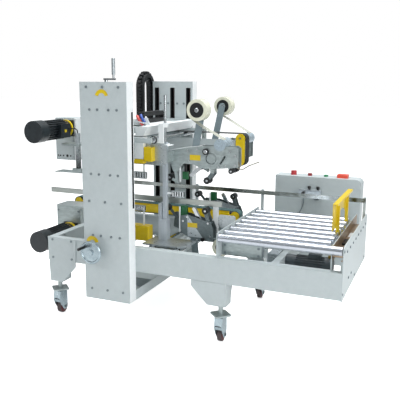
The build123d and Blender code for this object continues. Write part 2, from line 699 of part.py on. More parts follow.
def drum_and_reel_arm(drum, drum_y, foot, hub, arm_y, spindle_y):
    """The tension drum and the arm that carries the reel on its spindle."""
    bar("Y", (drum[0], drum_y, drum[1]), 126, 36)
    link(arm_y, foot, hub, 44, 8)
    bar("Y", (hub[0], spindle_y, hub[1]), reel_width + 14, spindle_radius)


near_reel_y = near_head - reel_width - reel_gap
near_hub = (head_x - 62, head_z + 337)
wire = [(head_x + 130, head_z + 12), (head_x + 157, head_z - 9), (head_x + 183, head_z - 9),
        (head_x + 218, head_z + 14), (head_x + 282, head_z + 41)]
with BuildPart() as upper_near_head:
    upper_head(near_head, near_head, head_end)
    link(near_head, (head_x + 62, head_z + 25), (head_x + 88, head_z + 67), 12, head_wall, Mode.SUBTRACT)
    bar("Y", (head_x - 29, near_head - 18, head_z + 92), 18, 19)
    drum_and_reel_arm((head_x + 56, head_z + 134), near_head - 2, (head_x - 105, head_z + 95), near_hub,
                      near_head + head_wall, near_head - reel_width - 5)
    hose([(x, near_head + head_wide - head_wall / 2, z) for x, z in wire], 12, 2.5)
save(upper_near_head, "upper_near_head")
save(reel(near_hub[0], near_reel_y, near_hub[1]), "upper_near_reel")

# Upper near carriage on the two upper rods, with a fork that follows the rod on the post
carriage_y = post_y - 44
fork_z = high_rod_z + 69
carriage = [(high_rod_x[0] - 24, high_rod_z - 20), (high_rod_x[0] - 24, high_rod_z - 105),
            (high_rod_x[0] + 25, high_rod_z - 154), (post_x + 13, high_rod_z - 154),
            (post_x + 38, high_rod_z - 135), (post_x + 38, high_rod_z - 35), (post_x + 13, high_rod_z - 20)]
with BuildPart() as upper_near_carriage:
    plate(at_y(carriage_y), carriage, 16)
    for x in high_rod_x:
        bar("Y", (x, carriage_y - 56, high_rod_z), 78, bush_radius)
        bar("Y", (x, carriage_y - 52, high_rod_z), 8, bush_radius + 5)
        block((x - 16, x + 16), (carriage_y - 16, carriage_y), (high_rod_z - 45, high_rod_z - 5))
    block((post_x + 21, post_x + 38), (carriage_y, near_head), (high_rod_z - 135, high_rod_z - 75))
    block((hanger_x[0] - 6, hanger_x[1] - 3), (carriage_y - 56, carriage_y),
          (high_rod_z - 116, high_rod_z + 13))
    block((post_x - 15, post_x + 15), (carriage_y - 16, carriage_y), (high_rod_z - 25, fork_z + 26))
    for side in (-1, 1):
        jaw = post_x + side * (tip_radius + 0.5)
        block((jaw, jaw + side * 6.5), (carriage_y, post_y + 14), (fork_z, fork_z + 26))
    block((post_x + 21, post_x + 38), (carriage_y, near_head), (high_rod_z - 40, high_rod_z - 36))
    for side in (-1, 1):
        block((post_x + side * 18, post_x + side * 21), (carriage_y, post_y + 18),
              (high_rod_z - 40, high_rod_z - 27))
    for x in high_rod_x:
        bar("Y", (x, carriage_y - 56, high_rod_z), 78, rod_radius + running, Mode.SUBTRACT)
save(upper_near_carriage, "upper_near_carriage")

# Yellow guards on the carriage: a rounded hood and a flat foot
guard_y = (carriage_y - 56, carriage_y - 16)
with BuildPart() as upper_guards:
    block((post_x - 95, post_x - 40), guard_y, (high_rod_z - 129, high_rod_z - 44))
    fillet(upper_guards.edges().filter_by(Axis.Z).group_by(Axis.Y)[0], 5)
    block((hanger_x[0] - 20, hanger_x[1] - 5), guard_y, (high_rod_z - 145, high_rod_z - 118))
save(upper_guards, "upper_guards")

# Upper far head, fixed to the crosshead
far_inner = far_head + head_wide - head_wall
far_hub = (head_x - 142, head_z + 333)
with BuildPart() as upper_far_head:
    upper_head(far_head, far_inner, head_end - far_cut)
    drum_and_reel_arm((head_x + 56, head_z + 131), far_head - 68, (head_x - 195, head_z + 85), far_hub,
                      far_inner - 8, far_inner - 4)
    block((hanger_x[0], head_x - 255), (far_head + 10, far_inner), (high_rod_z - 15, high_rod_z + 20))
    block((head_x - 271, head_x - 255), (far_head + 10, far_inner), (head_z + 55, high_rod_z + 20))
save(upper_far_head, "upper_far_head")
save(reel(far_hub[0], far_inner + head_wall + reel_gap + 1, far_hub[1]), "upper_far_reel")

# Rods of the lower near carriage, clamped inside the beams
rod_reach = half_width - sheet
with BuildPart() as lower_rods:
    for x in low_rod_x:
        bar("Y", (x, -rod_reach, low_rod_z), 2 * rod_reach, rod_radius)
        for side in (-1, 1):
            block((x - 18, x + 18), (side * rod_reach, side * (rod_reach - 20)),
                  (low_rod_z - 18, low_rod_z + rod_radius))
save(lower_rods, "lower_rods")

# Lower near carriage with the post that leads the upper carriage
deck_z = low_rod_z + 16
bush_y = post_y - 140
foot_top = lane_z - 8
with BuildPart() as lower_near_carriage:
    deck = [(low_rod_x[0] - 65, bush_y), (low_rod_x[1] + 12, bush_y), (low_rod_x[1] + 52, bush_y + 40),
            (low_rod_x[1] + 52, near_head), (low_rod_x[0] - 65, near_head)]
    plate(at_z(deck_z), deck, 10)
    for x in low_rod_x:
        bar("Y", (x, bush_y, low_rod_z), 100, bush_radius)
        bar("Y", (x, bush_y + 4, low_rod_z), 8, bush_radius + 5)
        bar("Y", (x, bush_y, low_rod_z), 100, rod_radius + running, Mode.SUBTRACT)
    block((post_x - 37, post_x + 18), (post_y - 29, post_y + 25), (deck_z + 10, foot_top))
    block((post_x - post_side / 2, post_x + post_side / 2), (post_y - post_side / 2, post_y + post_side / 2),
          (foot_top, post_top))
    bar("Z", (post_x, post_y, post_top), tip_top - post_top, tip_radius)
    block((post_x - 37, post_x - 19), (post_y - 25, post_y), (foot_top, lane_z + 91))
    block((post_x - 37, post_x - 19), (post_y - 25, rail_near), (lane_z + 77, lane_z + 91))
save(lower_near_carriage, "lower_near_carriage")

# Near guide rail with its post and the rounded end plate beside the table
with BuildPart() as near_rail:
    block((belt_left - 10, head_x + 52), (rail_near, rail_far), (lane_z + 75, lane_z + 107))
    block((head_x - 7, head_x + 29), (rail_near + 7, rail_far), (low_head_z - 55, lane_z + 75))
    plate(at_y(rail_far), [(head_x + 29, lane_z - 54), (guide_right, lane_z - 54), (guide_right, lane_z + 26),
                           (head_x + 29, lane_z + 26)], 5, 14)
    block((head_x + 20, head_x + 50), (rail_far - 8, rail_far), (lane_z - 40, lane_z + 12))
save(near_rail, "near_rail")

with BuildPart() as lower_guard:
    block((low_rod_x[0] - 185, low_rod_x[0] - 65), (post_y - 60, post_y), (deck_z, deck_z + 93))
    fillet(lower_guard.edges().filter_by(Axis.Z).group_by(Axis.Y)[0], 5)
save(lower_guard, "lower_guard")

head_low = [(-194, 72), (-154, 82), (1, 45), (20, 0), (17, -60), (-92, -80), (-150, -55), (-194, -35)]
head_low_deep = [(-259, 81), (-154, 82), (1, 45), (20, 0), (17, -60), (-92, -80), (-147, -55), (-271, -15)]
press_roller = (head_x - 38, lane_z + 52)
rear_roller = (head_x - 300, lane_z + 48)
low_hub = (head_x - 92, low_head_z - 234)


def lower_head(y, spindle_y):
    """Side plates, rollers, arms and pad of a lower head, with the reel arm below."""
    inner_y = y + head_wall
    far_plate = y + head_wide - head_wall
    span = head_wide - 2 * head_wall
    side_plate(y, shift(head_low, head_x, low_head_z), 6)
    side_plate(far_plate, shift(head_low_deep, head_x, low_head_z), 6)
    for x, z, radius in ((-100, 0, 26), (-15, -40, 8), (-170, 45, 8)):
        bar("Y", (head_x + x, inner_y, low_head_z + z), span, radius)
    for arm_y in (inner_y + 1, far_plate - 7):
        link(arm_y, (head_x - 13, low_head_z + 35), press_roller, 22, 6)
    bar("Y", (head_x - 13, inner_y, low_head_z + 35), span, 8)
    bar("Y", (press_roller[0], inner_y, press_roller[1]), span, 20)
    link(inner_y + 14, (head_x - 80, low_head_z + 50), (head_x - 117, low_head_z + 117), 20, 20)
    bar("Y", (head_x - 80, inner_y, low_head_z + 50), span, 6)
    link(far_plate - 8, (head_x - 240, low_head_z + 40), rear_roller, 16, 8)
    bar("Y", (rear_roller[0], inner_y, rear_roller[1]), span, 20)
    block((head_x - 210, head_x - 202), (inner_y, inner_y + 8), (low_head_z - 35, lane_z + 66))
    block((head_x - 210, head_x - 202), (inner_y, far_plate), (low_head_z + 10, low_head_z + 22))
    block((head_x - 208, head_x - 166), (inner_y + 16, inner_y + 40), (lane_z + 8, lane_z + 68))
    block((head_x - 186, head_x - 174), (inner_y + 22, inner_y + 34), (low_head_z + 22, lane_z + 8))
    block((head_x - 186, head_x - 174), (inner_y, far_plate), (low_head_z + 10, low_head_z + 22))
    link(inner_y, (head_x - 112, low_head_z - 50), low_hub, 44, 8)
    bar("Y", (low_hub[0], spindle_y, low_hub[1]), inner_y - spindle_y, spindle_radius)


with BuildPart() as lower_near_head:
    lower_head(near_head, near_head - reel_width - 5)
    bar("Y", (head_x - 46, near_head - 12, low_head_z - 65), 12, 12)
save(lower_near_head, "lower_near_head")
save(reel(low_hub[0], near_reel_y, low_hub[1]), "lower_near_reel")

with BuildPart() as lower_far_head:
    lower_head(far_head, far_head - reel_width - 5)
    block((head_x - 90, head_x - 20), (inside + 3, inside + 18), (beam_top, low_head_z - 10))
save(lower_far_head, "lower_far_head")
save(reel(low_hub[0], far_head - reel_width - reel_gap, low_hub[1]), "lower_far_reel")

# Hold-down bar under its upright cylinder beside the outfeed, with its cable
hold_x = motor_x + 153
hold_y = -110.0
hold_z = head_z - 106
with BuildPart() as hold_down:
    bar_side = [(hold_x - 184, hold_z + 3), (hold_x - 134, hold_z + 16), (hold_x - 44, hold_z + 16),
                (hold_x - 44, hold_z + 32), (hold_x + 25, hold_z + 32), (hold_x + 25, hold_z),
                (hold_x - 134, hold_z), (hold_x - 184, hold_z - 3)]
    plate(at_y(hold_y + 9), bar_side, 18)
    bar("Z", (hold_x, hold_y, hold_z + 32), high_rod_z - hold_z - 32, 17)
    block((motor_x + 38, hold_x + 21), (hold_y - 20, drive_near - 3), (high_rod_z - 85, high_rod_z - 70))
    hose([(motor_x + 84, hold_y, high_rod_z + 28), (hold_x, hold_y, high_rod_z + 28),
          (hold_x, hold_y, high_rod_z)], 22, 4)
save(hold_down, "hold_down")

# Energy chains, one loop beside the far column and one on top, and the hose bracket: all ride with
# the crosshead
chain_x = (column_left - 62, column_left - 6)
chain_y = (half_width - 122, half_width + 28)
chain_half = 12.0
chain_top = column_top + 51
turn_radius = (chain_y[1] - chain_y[0]) / 2
turn_z = chain_top - turn_radius - chain_half
shelf_z = cross_top - 30
bundle_high = 70.0
bundle_wall = 26.0
with BuildPart() as drag_chain:
    with BuildSketch(at_x(chain_x[0])) as loop:
        with Locations(((chain_y[0] + chain_y[1]) / 2, turn_z)):
            Circle(turn_radius + chain_half)
            Circle(turn_radius - chain_half, mode=Mode.SUBTRACT)
            with Locations((0, -turn_radius - chain_half)):
                Rectangle(2 * (turn_radius + chain_half), 2 * (turn_radius + chain_half), mode=Mode.SUBTRACT)
        for y, low in ((chain_y[0], shelf_z + 20), (chain_y[1], shelf_z - 46)):
            with Locations((y, (low + turn_z) / 2)):
                Rectangle(2 * chain_half, turn_z - low)
    extrude(loop.sketch, amount=chain_x[1] - chain_x[0])
    block((chain_x[0], column_x - 64), (chain_y[0] - 15, chain_y[0] + 15), (shelf_z, shelf_z + 20))
    with BuildSketch(at_x(column_x + 36)) as loop:
        with Locations((-25, cross_top + bundle_high / 2)):
            SlotOverall(350, bundle_high)
            SlotOverall(350 - 2 * bundle_wall, bundle_high - 2 * bundle_wall, mode=Mode.SUBTRACT)
        with Locations((-180, cross_top + bundle_high / 2)):
            Rectangle(60, bundle_high, mode=Mode.SUBTRACT)
    extrude(loop.sketch, amount=40)
    block((column_x - 44, column_x + 148), (-204, 130), (cross_top - 4, cross_top))
    bracket = [(column_x + 28, cross_top), (column_x + 148, cross_top), (column_x + 128, cross_top + 42),
               (column_x + 28, cross_top + 28)]
    plate(at_y(-200), bracket, 4)
    for x, y in ((column_x + 54, -224), (column_x + 74, -214)):
        hose([(x, -204, cross_top + 20), (x, y, cross_top + 20), (column_x + 134, y, cross_top + 8),
              (column_x + 134, y, cross_top - 4)], 6, 3.5)
save(drag_chain, "drag_chain")

# Lift screw with its crank, and the handwheel of the width setting
with BuildPart() as lift_screw:
    crank_z = column_top + 10
    bar("Z", (screw_x, near_y, slot_low - 20), crank_z + 10 - slot_low + 20, screw_radius)
    block((screw_x - 12, screw_x + 60), (near_y - 8, near_y + 8), (crank_z, crank_z + 10))
    bar("Z", (screw_x + 50, near_y, crank_z + 10), 20, 6)
    bar("Z", (screw_x + 50, near_y, crank_z + 30), 90, 10)
save(lift_screw, "lift_screw")

wheel_x = column_x - 74
wheel_z = beam_top - 23
wheel_y = -half_width - column_depth - 63
with BuildPart() as handwheel:
    bar("Y", (wheel_x, wheel_y, wheel_z), 154, 10)
    with BuildSketch(Plane(origin=spot(wheel_x, wheel_y, wheel_z), x_dir=(1, 0, 0), z_dir=(0, 0, 1))) as rim:
        with BuildLine():
            Polyline((0, -6), (18, -6), (18, 4), (54, 6), (58, 0), (66, 0), (70, 5), (70, 10), (66, 15),
                     (58, 15), (54, 11), (18, 12), (18, 30), (0, 30), close=True)
        make_face()
    revolve(rim.sketch, Axis(spot(wheel_x, wheel_y, wheel_z), (0, 1, 0)))
    bar("Y", (wheel_x - 40, wheel_y - 60, wheel_z + 30), 66, 9)
save(handwheel, "handwheel")
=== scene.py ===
import json
from math import asin, atan2, cos, hypot, pi, radians, sin

import bmesh
import bpy
from mathutils import Matrix, Vector


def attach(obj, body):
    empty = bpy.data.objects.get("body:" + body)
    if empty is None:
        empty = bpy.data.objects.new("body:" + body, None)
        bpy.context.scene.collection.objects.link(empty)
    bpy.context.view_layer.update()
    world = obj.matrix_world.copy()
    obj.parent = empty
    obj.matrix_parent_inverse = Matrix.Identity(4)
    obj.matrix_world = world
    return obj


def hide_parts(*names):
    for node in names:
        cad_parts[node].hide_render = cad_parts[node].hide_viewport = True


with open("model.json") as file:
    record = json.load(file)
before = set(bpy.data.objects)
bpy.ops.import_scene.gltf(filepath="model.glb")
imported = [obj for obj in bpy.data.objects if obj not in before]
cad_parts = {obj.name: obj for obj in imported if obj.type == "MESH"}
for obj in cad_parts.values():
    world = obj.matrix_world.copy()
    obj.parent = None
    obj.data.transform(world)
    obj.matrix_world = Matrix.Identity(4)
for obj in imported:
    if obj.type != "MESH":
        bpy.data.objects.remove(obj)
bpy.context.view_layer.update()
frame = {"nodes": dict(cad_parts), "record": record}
nodes = frame["nodes"]
print("frame loaded,", len(nodes), "nodes")

# the machine's own datum: X from the middle casters, Y from the plane between the beams, Z from the floor
midX, midY = 344.0, -40.0


def place(x, y, z):  # millimetres on the machine to metres in the shared frame
    return Vector(((x + midX) / 1000, (y + midY) / 1000, z / 1000))


def srgb(hexColor):
    values = [int(hexColor[i:i + 2], 16) / 255 for i in (1, 3, 5)]
    return [v / 12.92 if v <= 0.04045 else ((v + 0.055) / 1.055) ** 2.4 for v in values] + [1]


def add(tree, kind, settings=None, links=None):  # one node with its settings, fed by socket: output pairs
    node = tree.nodes.new(kind)
    for name, value in (settings or {}).items():
        if name in node.inputs:
            node.inputs[name].default_value = value
        else:
            setattr(node, name, value)
    for name, output in (links or {}).items():
        tree.links.new(output, node.inputs[name])
    return node


def finish(name, light, dark, rough, metallic=0.0, edgeMm=1.2, grainMm=25.0, contrast=0.25, bump=0.04,
           coat=0.0, stretch=(1, 1, 1), dirt=0.0, dirtColor="#6E6A60"):
    material = bpy.data.materials.new(name)
    material.use_nodes = True
    tree = material.node_tree
    shader = tree.nodes["Principled BSDF"]
    shader.inputs["Metallic"].default_value = metallic
    shader.inputs["Coat Weight"].default_value = coat
    coords = add(tree, "ShaderNodeTexCoord")
    grain = add(tree, "ShaderNodeMapping", {"Scale": stretch}, {"Vector": coords.outputs["Object"]})
    cloud = add(tree, "ShaderNodeTexNoise", {"Scale": 1000 / grainMm, "Detail": 5.0, "Roughness": 0.6},
                {"Vector": grain.outputs["Vector"]})
    spread = add(tree, "ShaderNodeMapRange", {"From Min": 0.5 - contrast, "From Max": 0.5 + contrast},
                 {"Value": cloud.outputs["Fac"]})
    tint = add(tree, "ShaderNodeMixRGB", {"Color1": srgb(dark), "Color2": srgb(light)},
               {"Fac": spread.outputs["Result"]})
    color = tint.outputs["Color"]
    if dirt:  # soft handling marks about the size of a hand, nine to the metre
        smudge = add(tree, "ShaderNodeTexNoise", {"Scale": 9.0, "Detail": 6.0, "Roughness": 0.7},
                     {"Vector": coords.outputs["Object"]})
        marks = add(tree, "ShaderNodeMapRange", {"From Min": 0.5, "From Max": 0.85, "To Max": dirt},
                    {"Value": smudge.outputs["Fac"]})
        color = add(tree, "ShaderNodeMixRGB", {"Color2": srgb(dirtColor)},
                    {"Fac": marks.outputs["Result"], "Color1": color}).outputs["Color"]
    tree.links.new(color, shader.inputs["Base Color"])
    gloss = add(tree, "ShaderNodeMapRange", {"To Min": rough * 0.85, "To Max": min(1, rough * 1.15)},
                {"Value": spread.outputs["Result"]})
    tree.links.new(gloss.outputs["Result"], shader.inputs["Roughness"])
    edge = add(tree, "ShaderNodeBevel", {"samples": 4, "Radius": edgeMm / 1000})
    fine = add(tree, "ShaderNodeTexNoise", {"Scale": 4000 / grainMm, "Detail": 3.0},  # a quarter of the grain
               {"Vector": grain.outputs["Vector"]})
    relief = add(tree, "ShaderNodeBump", {"Strength": bump, "Distance": 0.001},
                 {"Height": fine.outputs["Fac"], "Normal": edge.outputs["Normal"]})
    tree.links.new(relief.outputs["Normal"], shader.inputs["Normal"])
    return material


# powder-coated sheet steel: even and faintly pebbled, pale grey with a blue-green cast
powderCoat = finish("powder_coated_sheet", "#BAC3C5", "#B3BDBF", 0.45, edgeMm=2.0, dirt=0.08)
# the same coating in white on the cover beam, the brackets and the small plates; also a painted highlight on
# the columns' side towards the table and on the upper drive box's right fold
whiteCoat = finish("white_coated_sheet", "#EDF1F2", "#E4E9EB", 0.4, edgeMm=1.5, dirt=0.05)
# turned and chromed conveyor tube: bright, with faint long streaks
chromedTube = finish("chromed_conveyor_tube", "#C6CBD3", "#B8BEC7", 0.27, metallic=0.95, grainMm=150,
                     contrast=0.5, bump=0.0, stretch=(0.1, 1, 1))
# laser-cut and zinc-plated plate: grey, lightly brushed, with handling marks
zincPlate = finish("zinc_plated_plate", "#BAC5C5", "#96A1A1", 0.34, metallic=0.6, edgeMm=0.8, grainMm=12,
                   bump=0.05, stretch=(0.3, 1, 1), dirt=0.4, dirtColor="#505759")
# zinc plate painted darker as shade, for the lower heads and for pieces in their shade, blotched with oil
darkPlate = finish("zinc_plate_painted_shade", "#7C8789", "#646F72", 0.4, metallic=0.6, edgeMm=0.8,
                   grainMm=14, bump=0.05, dirt=0.5, dirtColor="#3F4749")
# brushed stainless flat bar of the near rail: satin, with lines along it
brushedBar = finish("brushed_stainless_bar", "#BFC4C0", "#A2A8A3", 0.3, metallic=0.8, edgeMm=0.8,
                    grainMm=18, stretch=(0.05, 1, 1))
# the far rail: polished bar, its bright and dark reflections painted in broad patches
paintedReflectionBar = finish("stainless_bar_painted_reflections", "#C9CFCD", "#565B53", 0.22, metallic=0.85, edgeMm=0.8,
                   grainMm=420, contrast=0.1, bump=0.01)
# bare rolled sheet of the tray, brownish
brownSheet = finish("bare_rolled_sheet", "#B09A82", "#98836D", 0.4, metallic=0.5, edgeMm=0.8, grainMm=40)
# hard-chromed guide rods and small turned parts: mirror-like
polishedSteel = finish("hard_chromed_rod", "#D5D9DB", "#BDC2C5", 0.14, metallic=1.0, edgeMm=0.5, bump=0.01)
# guides and lift screws in the column slots, dark with oil
oiledSteel = finish("oiled_guide_rod", "#6A5F5E", "#473B3C", 0.3, metallic=0.9, edgeMm=0.5)
# die-cast and polished aluminium: bright with soft cloudy wear
castAluminium = finish("polished_cast_aluminium", "#C6CDD0", "#A6AFB3", 0.3, metallic=0.7, edgeMm=1.0,
                       grainMm=15)
# turned drums of the tape heads, anodised a pale blue-grey
blueAluminium = finish("blue_anodised_drum", "#AEBEC8", "#A6B6C0", 0.28, metallic=0.35, edgeMm=1.2,
                       grainMm=40)
# pressed and zinc-plated caster forks and the handwheel: bright, with darker reflections painted in as
# patches
pressedZinc = finish("bright_pressed_steel", "#B6C5CC", "#93A2A9", 0.24, metallic=0.75, edgeMm=1.0,
                     grainMm=45, contrast=0.2, bump=0.01)
# anodised aluminium extrusion of the post: cool grey and satin
anodised = finish("anodised_aluminium_post", "#CBD3DA", "#BAC3CB", 0.35, metallic=0.35, edgeMm=0.8,
                  stretch=(1, 1, 0.05))
# grey stove enamel on the reel arms
armEnamel = finish("grey_arm_enamel", "#85949A", "#7A898F", 0.4, edgeMm=0.8)
# sprayed enamel on the belts' motors: blue-black and glossy, with a little pale dust
blackEnamel = finish("black_motor_enamel", "#1D262B", "#12191D", 0.35, edgeMm=1.5, coat=0.2, dirt=0.1,
                     dirtColor="#5B7078")
# sprayed enamel on the infeed motor and the small housings: dark grey and duller
greyEnamel = finish("dark_grey_motor_enamel", "#495459", "#394347", 0.42, dirt=0.15)
# stove enamel on guards, belt covers and pusher: warm yellow under a thin gloss
yellowEnamel = finish("yellow_guard_enamel", "#E2C516", "#D7B90B", 0.35, edgeMm=2.0, coat=0.15, dirt=0.06)
# the lower belt's rubber cover: dull green, its fine weave drawn coarse enough to show
beltRubber = finish("green_conveyor_rubber", "#52706F", "#3F5C5D", 0.6, edgeMm=0.8, grainMm=4)
# the upper belt is black with a ground surface
blackBelt = finish("black_conveyor_rubber", "#2A3031", "#1D2223", 0.65, edgeMm=0.8, grainMm=4)
# moulded nylon of the energy chain: black with a faint sheen
chainNylon = finish("black_chain_nylon", "#191C1F", "#101214", 0.5, edgeMm=1.0)
# wound tape: cream and glossy
packTape = finish("wound_packing_tape", "#E2E3D2", "#D3D4BE", 0.25, edgeMm=1.0, grainMm=6, coat=0.3,
                  stretch=(0.2, 1, 0.2))
# a single layer of the tape between reel and drum: thin and clear
tapeFilm = finish("packing_tape_film", "#CDCFC4", "#BFC1B4", 0.2, grainMm=30, bump=0.01)
tapeFilm.node_tree.nodes["Principled BSDF"].inputs["Alpha"].default_value = 0.7
# moulded knobs, handles and reel cores: black with half a gloss
blackPlastic = finish("moulded_black_plastic", "#17191B", "#101213", 0.35, edgeMm=0.8)
# vulcanised rubber on the heads' rollers: charcoal and dull
blackRubber = finish("vulcanised_black_rubber", "#202426", "#161A1C", 0.6, edgeMm=1.0, grainMm=8)
# cast polyurethane wheels: dark red and glossy, with a grey tread dulled by the floor
darkUrethane = finish("dark_red_polyurethane", "#6A2428", "#521B1F", 0.4, edgeMm=1.5, coat=0.2)
greyUrethane = finish("grey_polyurethane_tread", "#5A4E4F", "#463C3D", 0.5, edgeMm=1.5, dirt=0.4)
# moulded pads of the tape heads: deep green, smooth
greenPad = finish("green_moulded_pad", "#196C3C", "#0F4E2B", 0.4, edgeMm=1.0)
# moulded buttons and switch on the cabinet: strong colours under a gloss
crimsonPlastic = finish("crimson_button_plastic", "#C03038", "#A8262E", 0.3, coat=0.4)
redPlastic = finish("dark_red_button_plastic", "#9A2128", "#82191F", 0.3, coat=0.4)
greenPlastic = finish("green_button_plastic", "#1E8A5A", "#177349", 0.3, coat=0.4)
orangePlastic = finish("orange_switch_plastic", "#E5533C", "#D2452F", 0.35, coat=0.3)
# screws in the painted sheets, dulled by the coating
dullZinc = finish("dull_zinc_screw", "#8E999D", "#788287", 0.45, metallic=0.4, edgeMm=0.3)
# drawn wire of the tape's guides: grey and smooth
drawnWire = finish("drawn_steel_wire", "#A7A497", "#8C897C", 0.4, metallic=0.4, edgeMm=0.3)
# warm brass of the rings round the belts' motors and of the infeed motor's cap
warmBrass = finish("dull_brass", "#B8994A", "#9C7F38", 0.35, metallic=0.8)
# painted shade deep in the column slots: nearly black and matt
slotShadow = finish("painted_slot_shadow", "#23282A", "#151A1B", 0.8, grainMm=10)
# extruded hoses and the cable's sheath: soft polymer, evenly coloured, with a slight shine
clearHose = finish("milky_hose_polymer", "#D3D9DC", "#C4CBCF", 0.3)
redHose = finish("red_hose_polymer", "#D65F5A", "#C94F4B", 0.35)
cableSheath = finish("grey_cable_sheath", "#6F7B80", "#626D72", 0.5)
blueHose = finish("blue_hose_polymer", "#3F5FB2", "#3453A4", 0.35)

plainLooks = {  # nodes that show as they are, in one finish
    powderCoat: ["long_beams", "end_panel", "cross_rails", "gantry_base", "leg_brackets", "table_plates"],
    whiteCoat: ["crosshead_cover"],
    chromedTube: ["roller_%d" % (i + 1) for i in range(8)],
    polishedSteel: ["roller_axles", "pusher_track"],
    zincPlate: ["slide_blocks", "caster_plates"],
    yellowEnamel: ["pusher", "upper_guards", "lower_guard"],
    beltRubber: ["lower_belt"],
    blackBelt: ["upper_belt"],
}
for material, names in plainLooks.items():
    for name in names:
        nodes[name].data.materials.clear()
        nodes[name].data.materials.append(material)
print("plain finishes set")

bodyOf = {node: body for body, names in frame["record"]["behaviour"]["bodies"].items() for node in names}


def keep(name, mesh, body, materials=()):  # a finished mesh becomes a piece that moves with a body
    for material in materials:
        mesh.materials.append(material)
    piece = bpy.data.objects.new(name, mesh)
    bpy.context.collection.objects.link(piece)
    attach(piece, body)
    return piece


# how a CAD mesh is cleaned: metres within which points merge, angles that count as flat and as sharp
mergeM, flatDegrees, sharpDegrees = 0.00002, 0.6, 32


def dress(name, base, zones=(), edgeMm=0.7):  # bevelled copy of a CAD node with other finishes by zone
    mesh = nodes[name].data.copy()
    mesh.name = name + "_dressed"
    mesh.materials.clear()
    bm = bmesh.new()
    bm.from_mesh(mesh)
    bmesh.ops.remove_doubles(bm, verts=bm.verts, dist=mergeM)
    for face in bm.faces:
        face.smooth = True
        center = face.calc_center_median() * 1000
        x, y, z = center.x - midX, center.y - midY, center.z
        face.material_index = next((i + 1 for i, (_, inside) in enumerate(zones) if inside(x, y, z)), 0)
    bmesh.ops.dissolve_limit(bm, angle_limit=radians(flatDegrees), verts=bm.verts, edges=bm.edges,
                             delimit={"NORMAL", "MATERIAL"})
    for edge in bm.edges:
        edge.smooth = edge.calc_face_angle(0) < radians(sharpDegrees)
    bm.to_mesh(mesh)
    bm.free()
    piece = keep(name + "_dressed", mesh, bodyOf[name], [base] + [material for material, _ in zones])
    bevel = piece.modifiers.new("edges", "BEVEL")
    bevel.width = edgeMm / 1000
    bevel.segments = 2
    bevel.limit_method = "ANGLE"
    bevel.angle_limit = radians(sharpDegrees)
    bevel.harden_normals = True
    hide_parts(name)
    return piece


def near(x, z, reach, cx, cz):  # inside a circle of an XZ plane
    return hypot(x - cx, z - cz) < reach


# columns: painted shade in the slots, with oiled guides and screws, and a painted highlight on the side
# towards the table
slots = {"centres": (-798, -677, -555), "half": 17.2, "low": 559, "top": 1438, "front": 423, "back": 483,
         "guideY": 454, "guideReach": 9.5}
sideSlot = {"left": -535, "near": -448, "far": -427, "low": 754, "top": 1314}
columnSide, laneSide = -522.5, 419  # X of the side towards the table, distance of the sides towards the lane
dress("columns", powderCoat, [
    (oiledSteel, lambda x, y, z: slots["low"] < z < slots["top"]
     and min(hypot(x - c, abs(y) - slots["guideY"]) for c in slots["centres"]) < slots["guideReach"]),
    # painted shade in the front and back slots, then in the slot in the side towards the table
    (slotShadow, lambda x, y, z: slots["low"] < z < slots["top"] and slots["front"] < abs(y) < slots["back"]
     and min(abs(x - c) for c in slots["centres"]) < slots["half"]),
    (slotShadow, lambda x, y, z: sideSlot["low"] < z < sideSlot["top"]
     and sideSlot["near"] < y < sideSlot["far"] and sideSlot["left"] < x < columnSide),
    # painted highlight: the side towards the table takes the white coating to look lit
    (whiteCoat, lambda x, y, z: x > columnSide and abs(y) > laneSide),
], edgeMm=2.0)

# crosshead and carriages: bright rods and bushes, black rings at the bushes' ends
highRods = {"x": (-640, -463), "z": 1145}
lowRods = {"x": (-455, -292), "z": 497}
rodReach, bushReach, ringReach = 12.6, 19.6, 24.6


def onRods(x, z, rods, reach):
    return min(hypot(x - rod, z - rods["z"]) for rod in rods["x"]) < reach


dress("crosshead", powderCoat, [(polishedSteel, lambda x, y, z: onRods(x, z, highRods, rodReach))])
dress("lower_rods", zincPlate, [(polishedSteel, lambda x, y, z: onRods(x, z, lowRods, rodReach))])
upperCarriage = {"ringNear": -297, "ringFar": -287, "plateNear": -261, "plateFar": -243, "plateTop": 1126,
                 "plateLeft": -665, "armTop": 1071}
dress("upper_near_carriage", whiteCoat, [
    (blackPlastic, lambda x, y, z: upperCarriage["ringNear"] < y < upperCarriage["ringFar"]
     and onRods(x, z, highRods, ringReach)),
    (polishedSteel, lambda x, y, z: onRods(x, z, highRods, bushReach)),
    (castAluminium, lambda x, y, z: upperCarriage["plateNear"] < y < upperCarriage["plateFar"]
     and z < upperCarriage["plateTop"] and x > upperCarriage["plateLeft"]),
    (zincPlate, lambda x, y, z: z < upperCarriage["armTop"]),
])
lowerCarriage = {"ringNear": -337, "ringFar": -327, "bushTop": 517, "postLow": 523.6, "postFar": -174.5,
                 "rodLow": 1127}
dress("lower_near_carriage", castAluminium, [
    (blackPlastic, lambda x, y, z: lowerCarriage["ringNear"] < y < lowerCarriage["ringFar"]
     and onRods(x, z, lowRods, ringReach)),
    (polishedSteel, lambda x, y, z: z < lowerCarriage["bushTop"] and onRods(x, z, lowRods, bushReach)),
    (polishedSteel, lambda x, y, z: z > lowerCarriage["rodLow"]),
    (anodised, lambda x, y, z: z > lowerCarriage["postLow"] and y < lowerCarriage["postFar"]),
    (castAluminium, lambda x, y, z: z > lowerCarriage["postLow"]),
])

# rails of the lane: bare bars on coated brackets and posts
rails = {"low": 734.5, "top": 762, "farSide": 406.2, "nearPost": -120.5}
dress("near_rail", brushedBar, [
    (castAluminium, lambda x, y, z: z < rails["low"] and x > rails["nearPost"]),
    (whiteCoat, lambda x, y, z: z < rails["low"]),
])
# far rail: reflections painted into its colour
dress("fence", paintedReflectionBar, [
    (powderCoat, lambda x, y, z: y > rails["farSide"] or z < rails["low"] or z > rails["top"]),
])

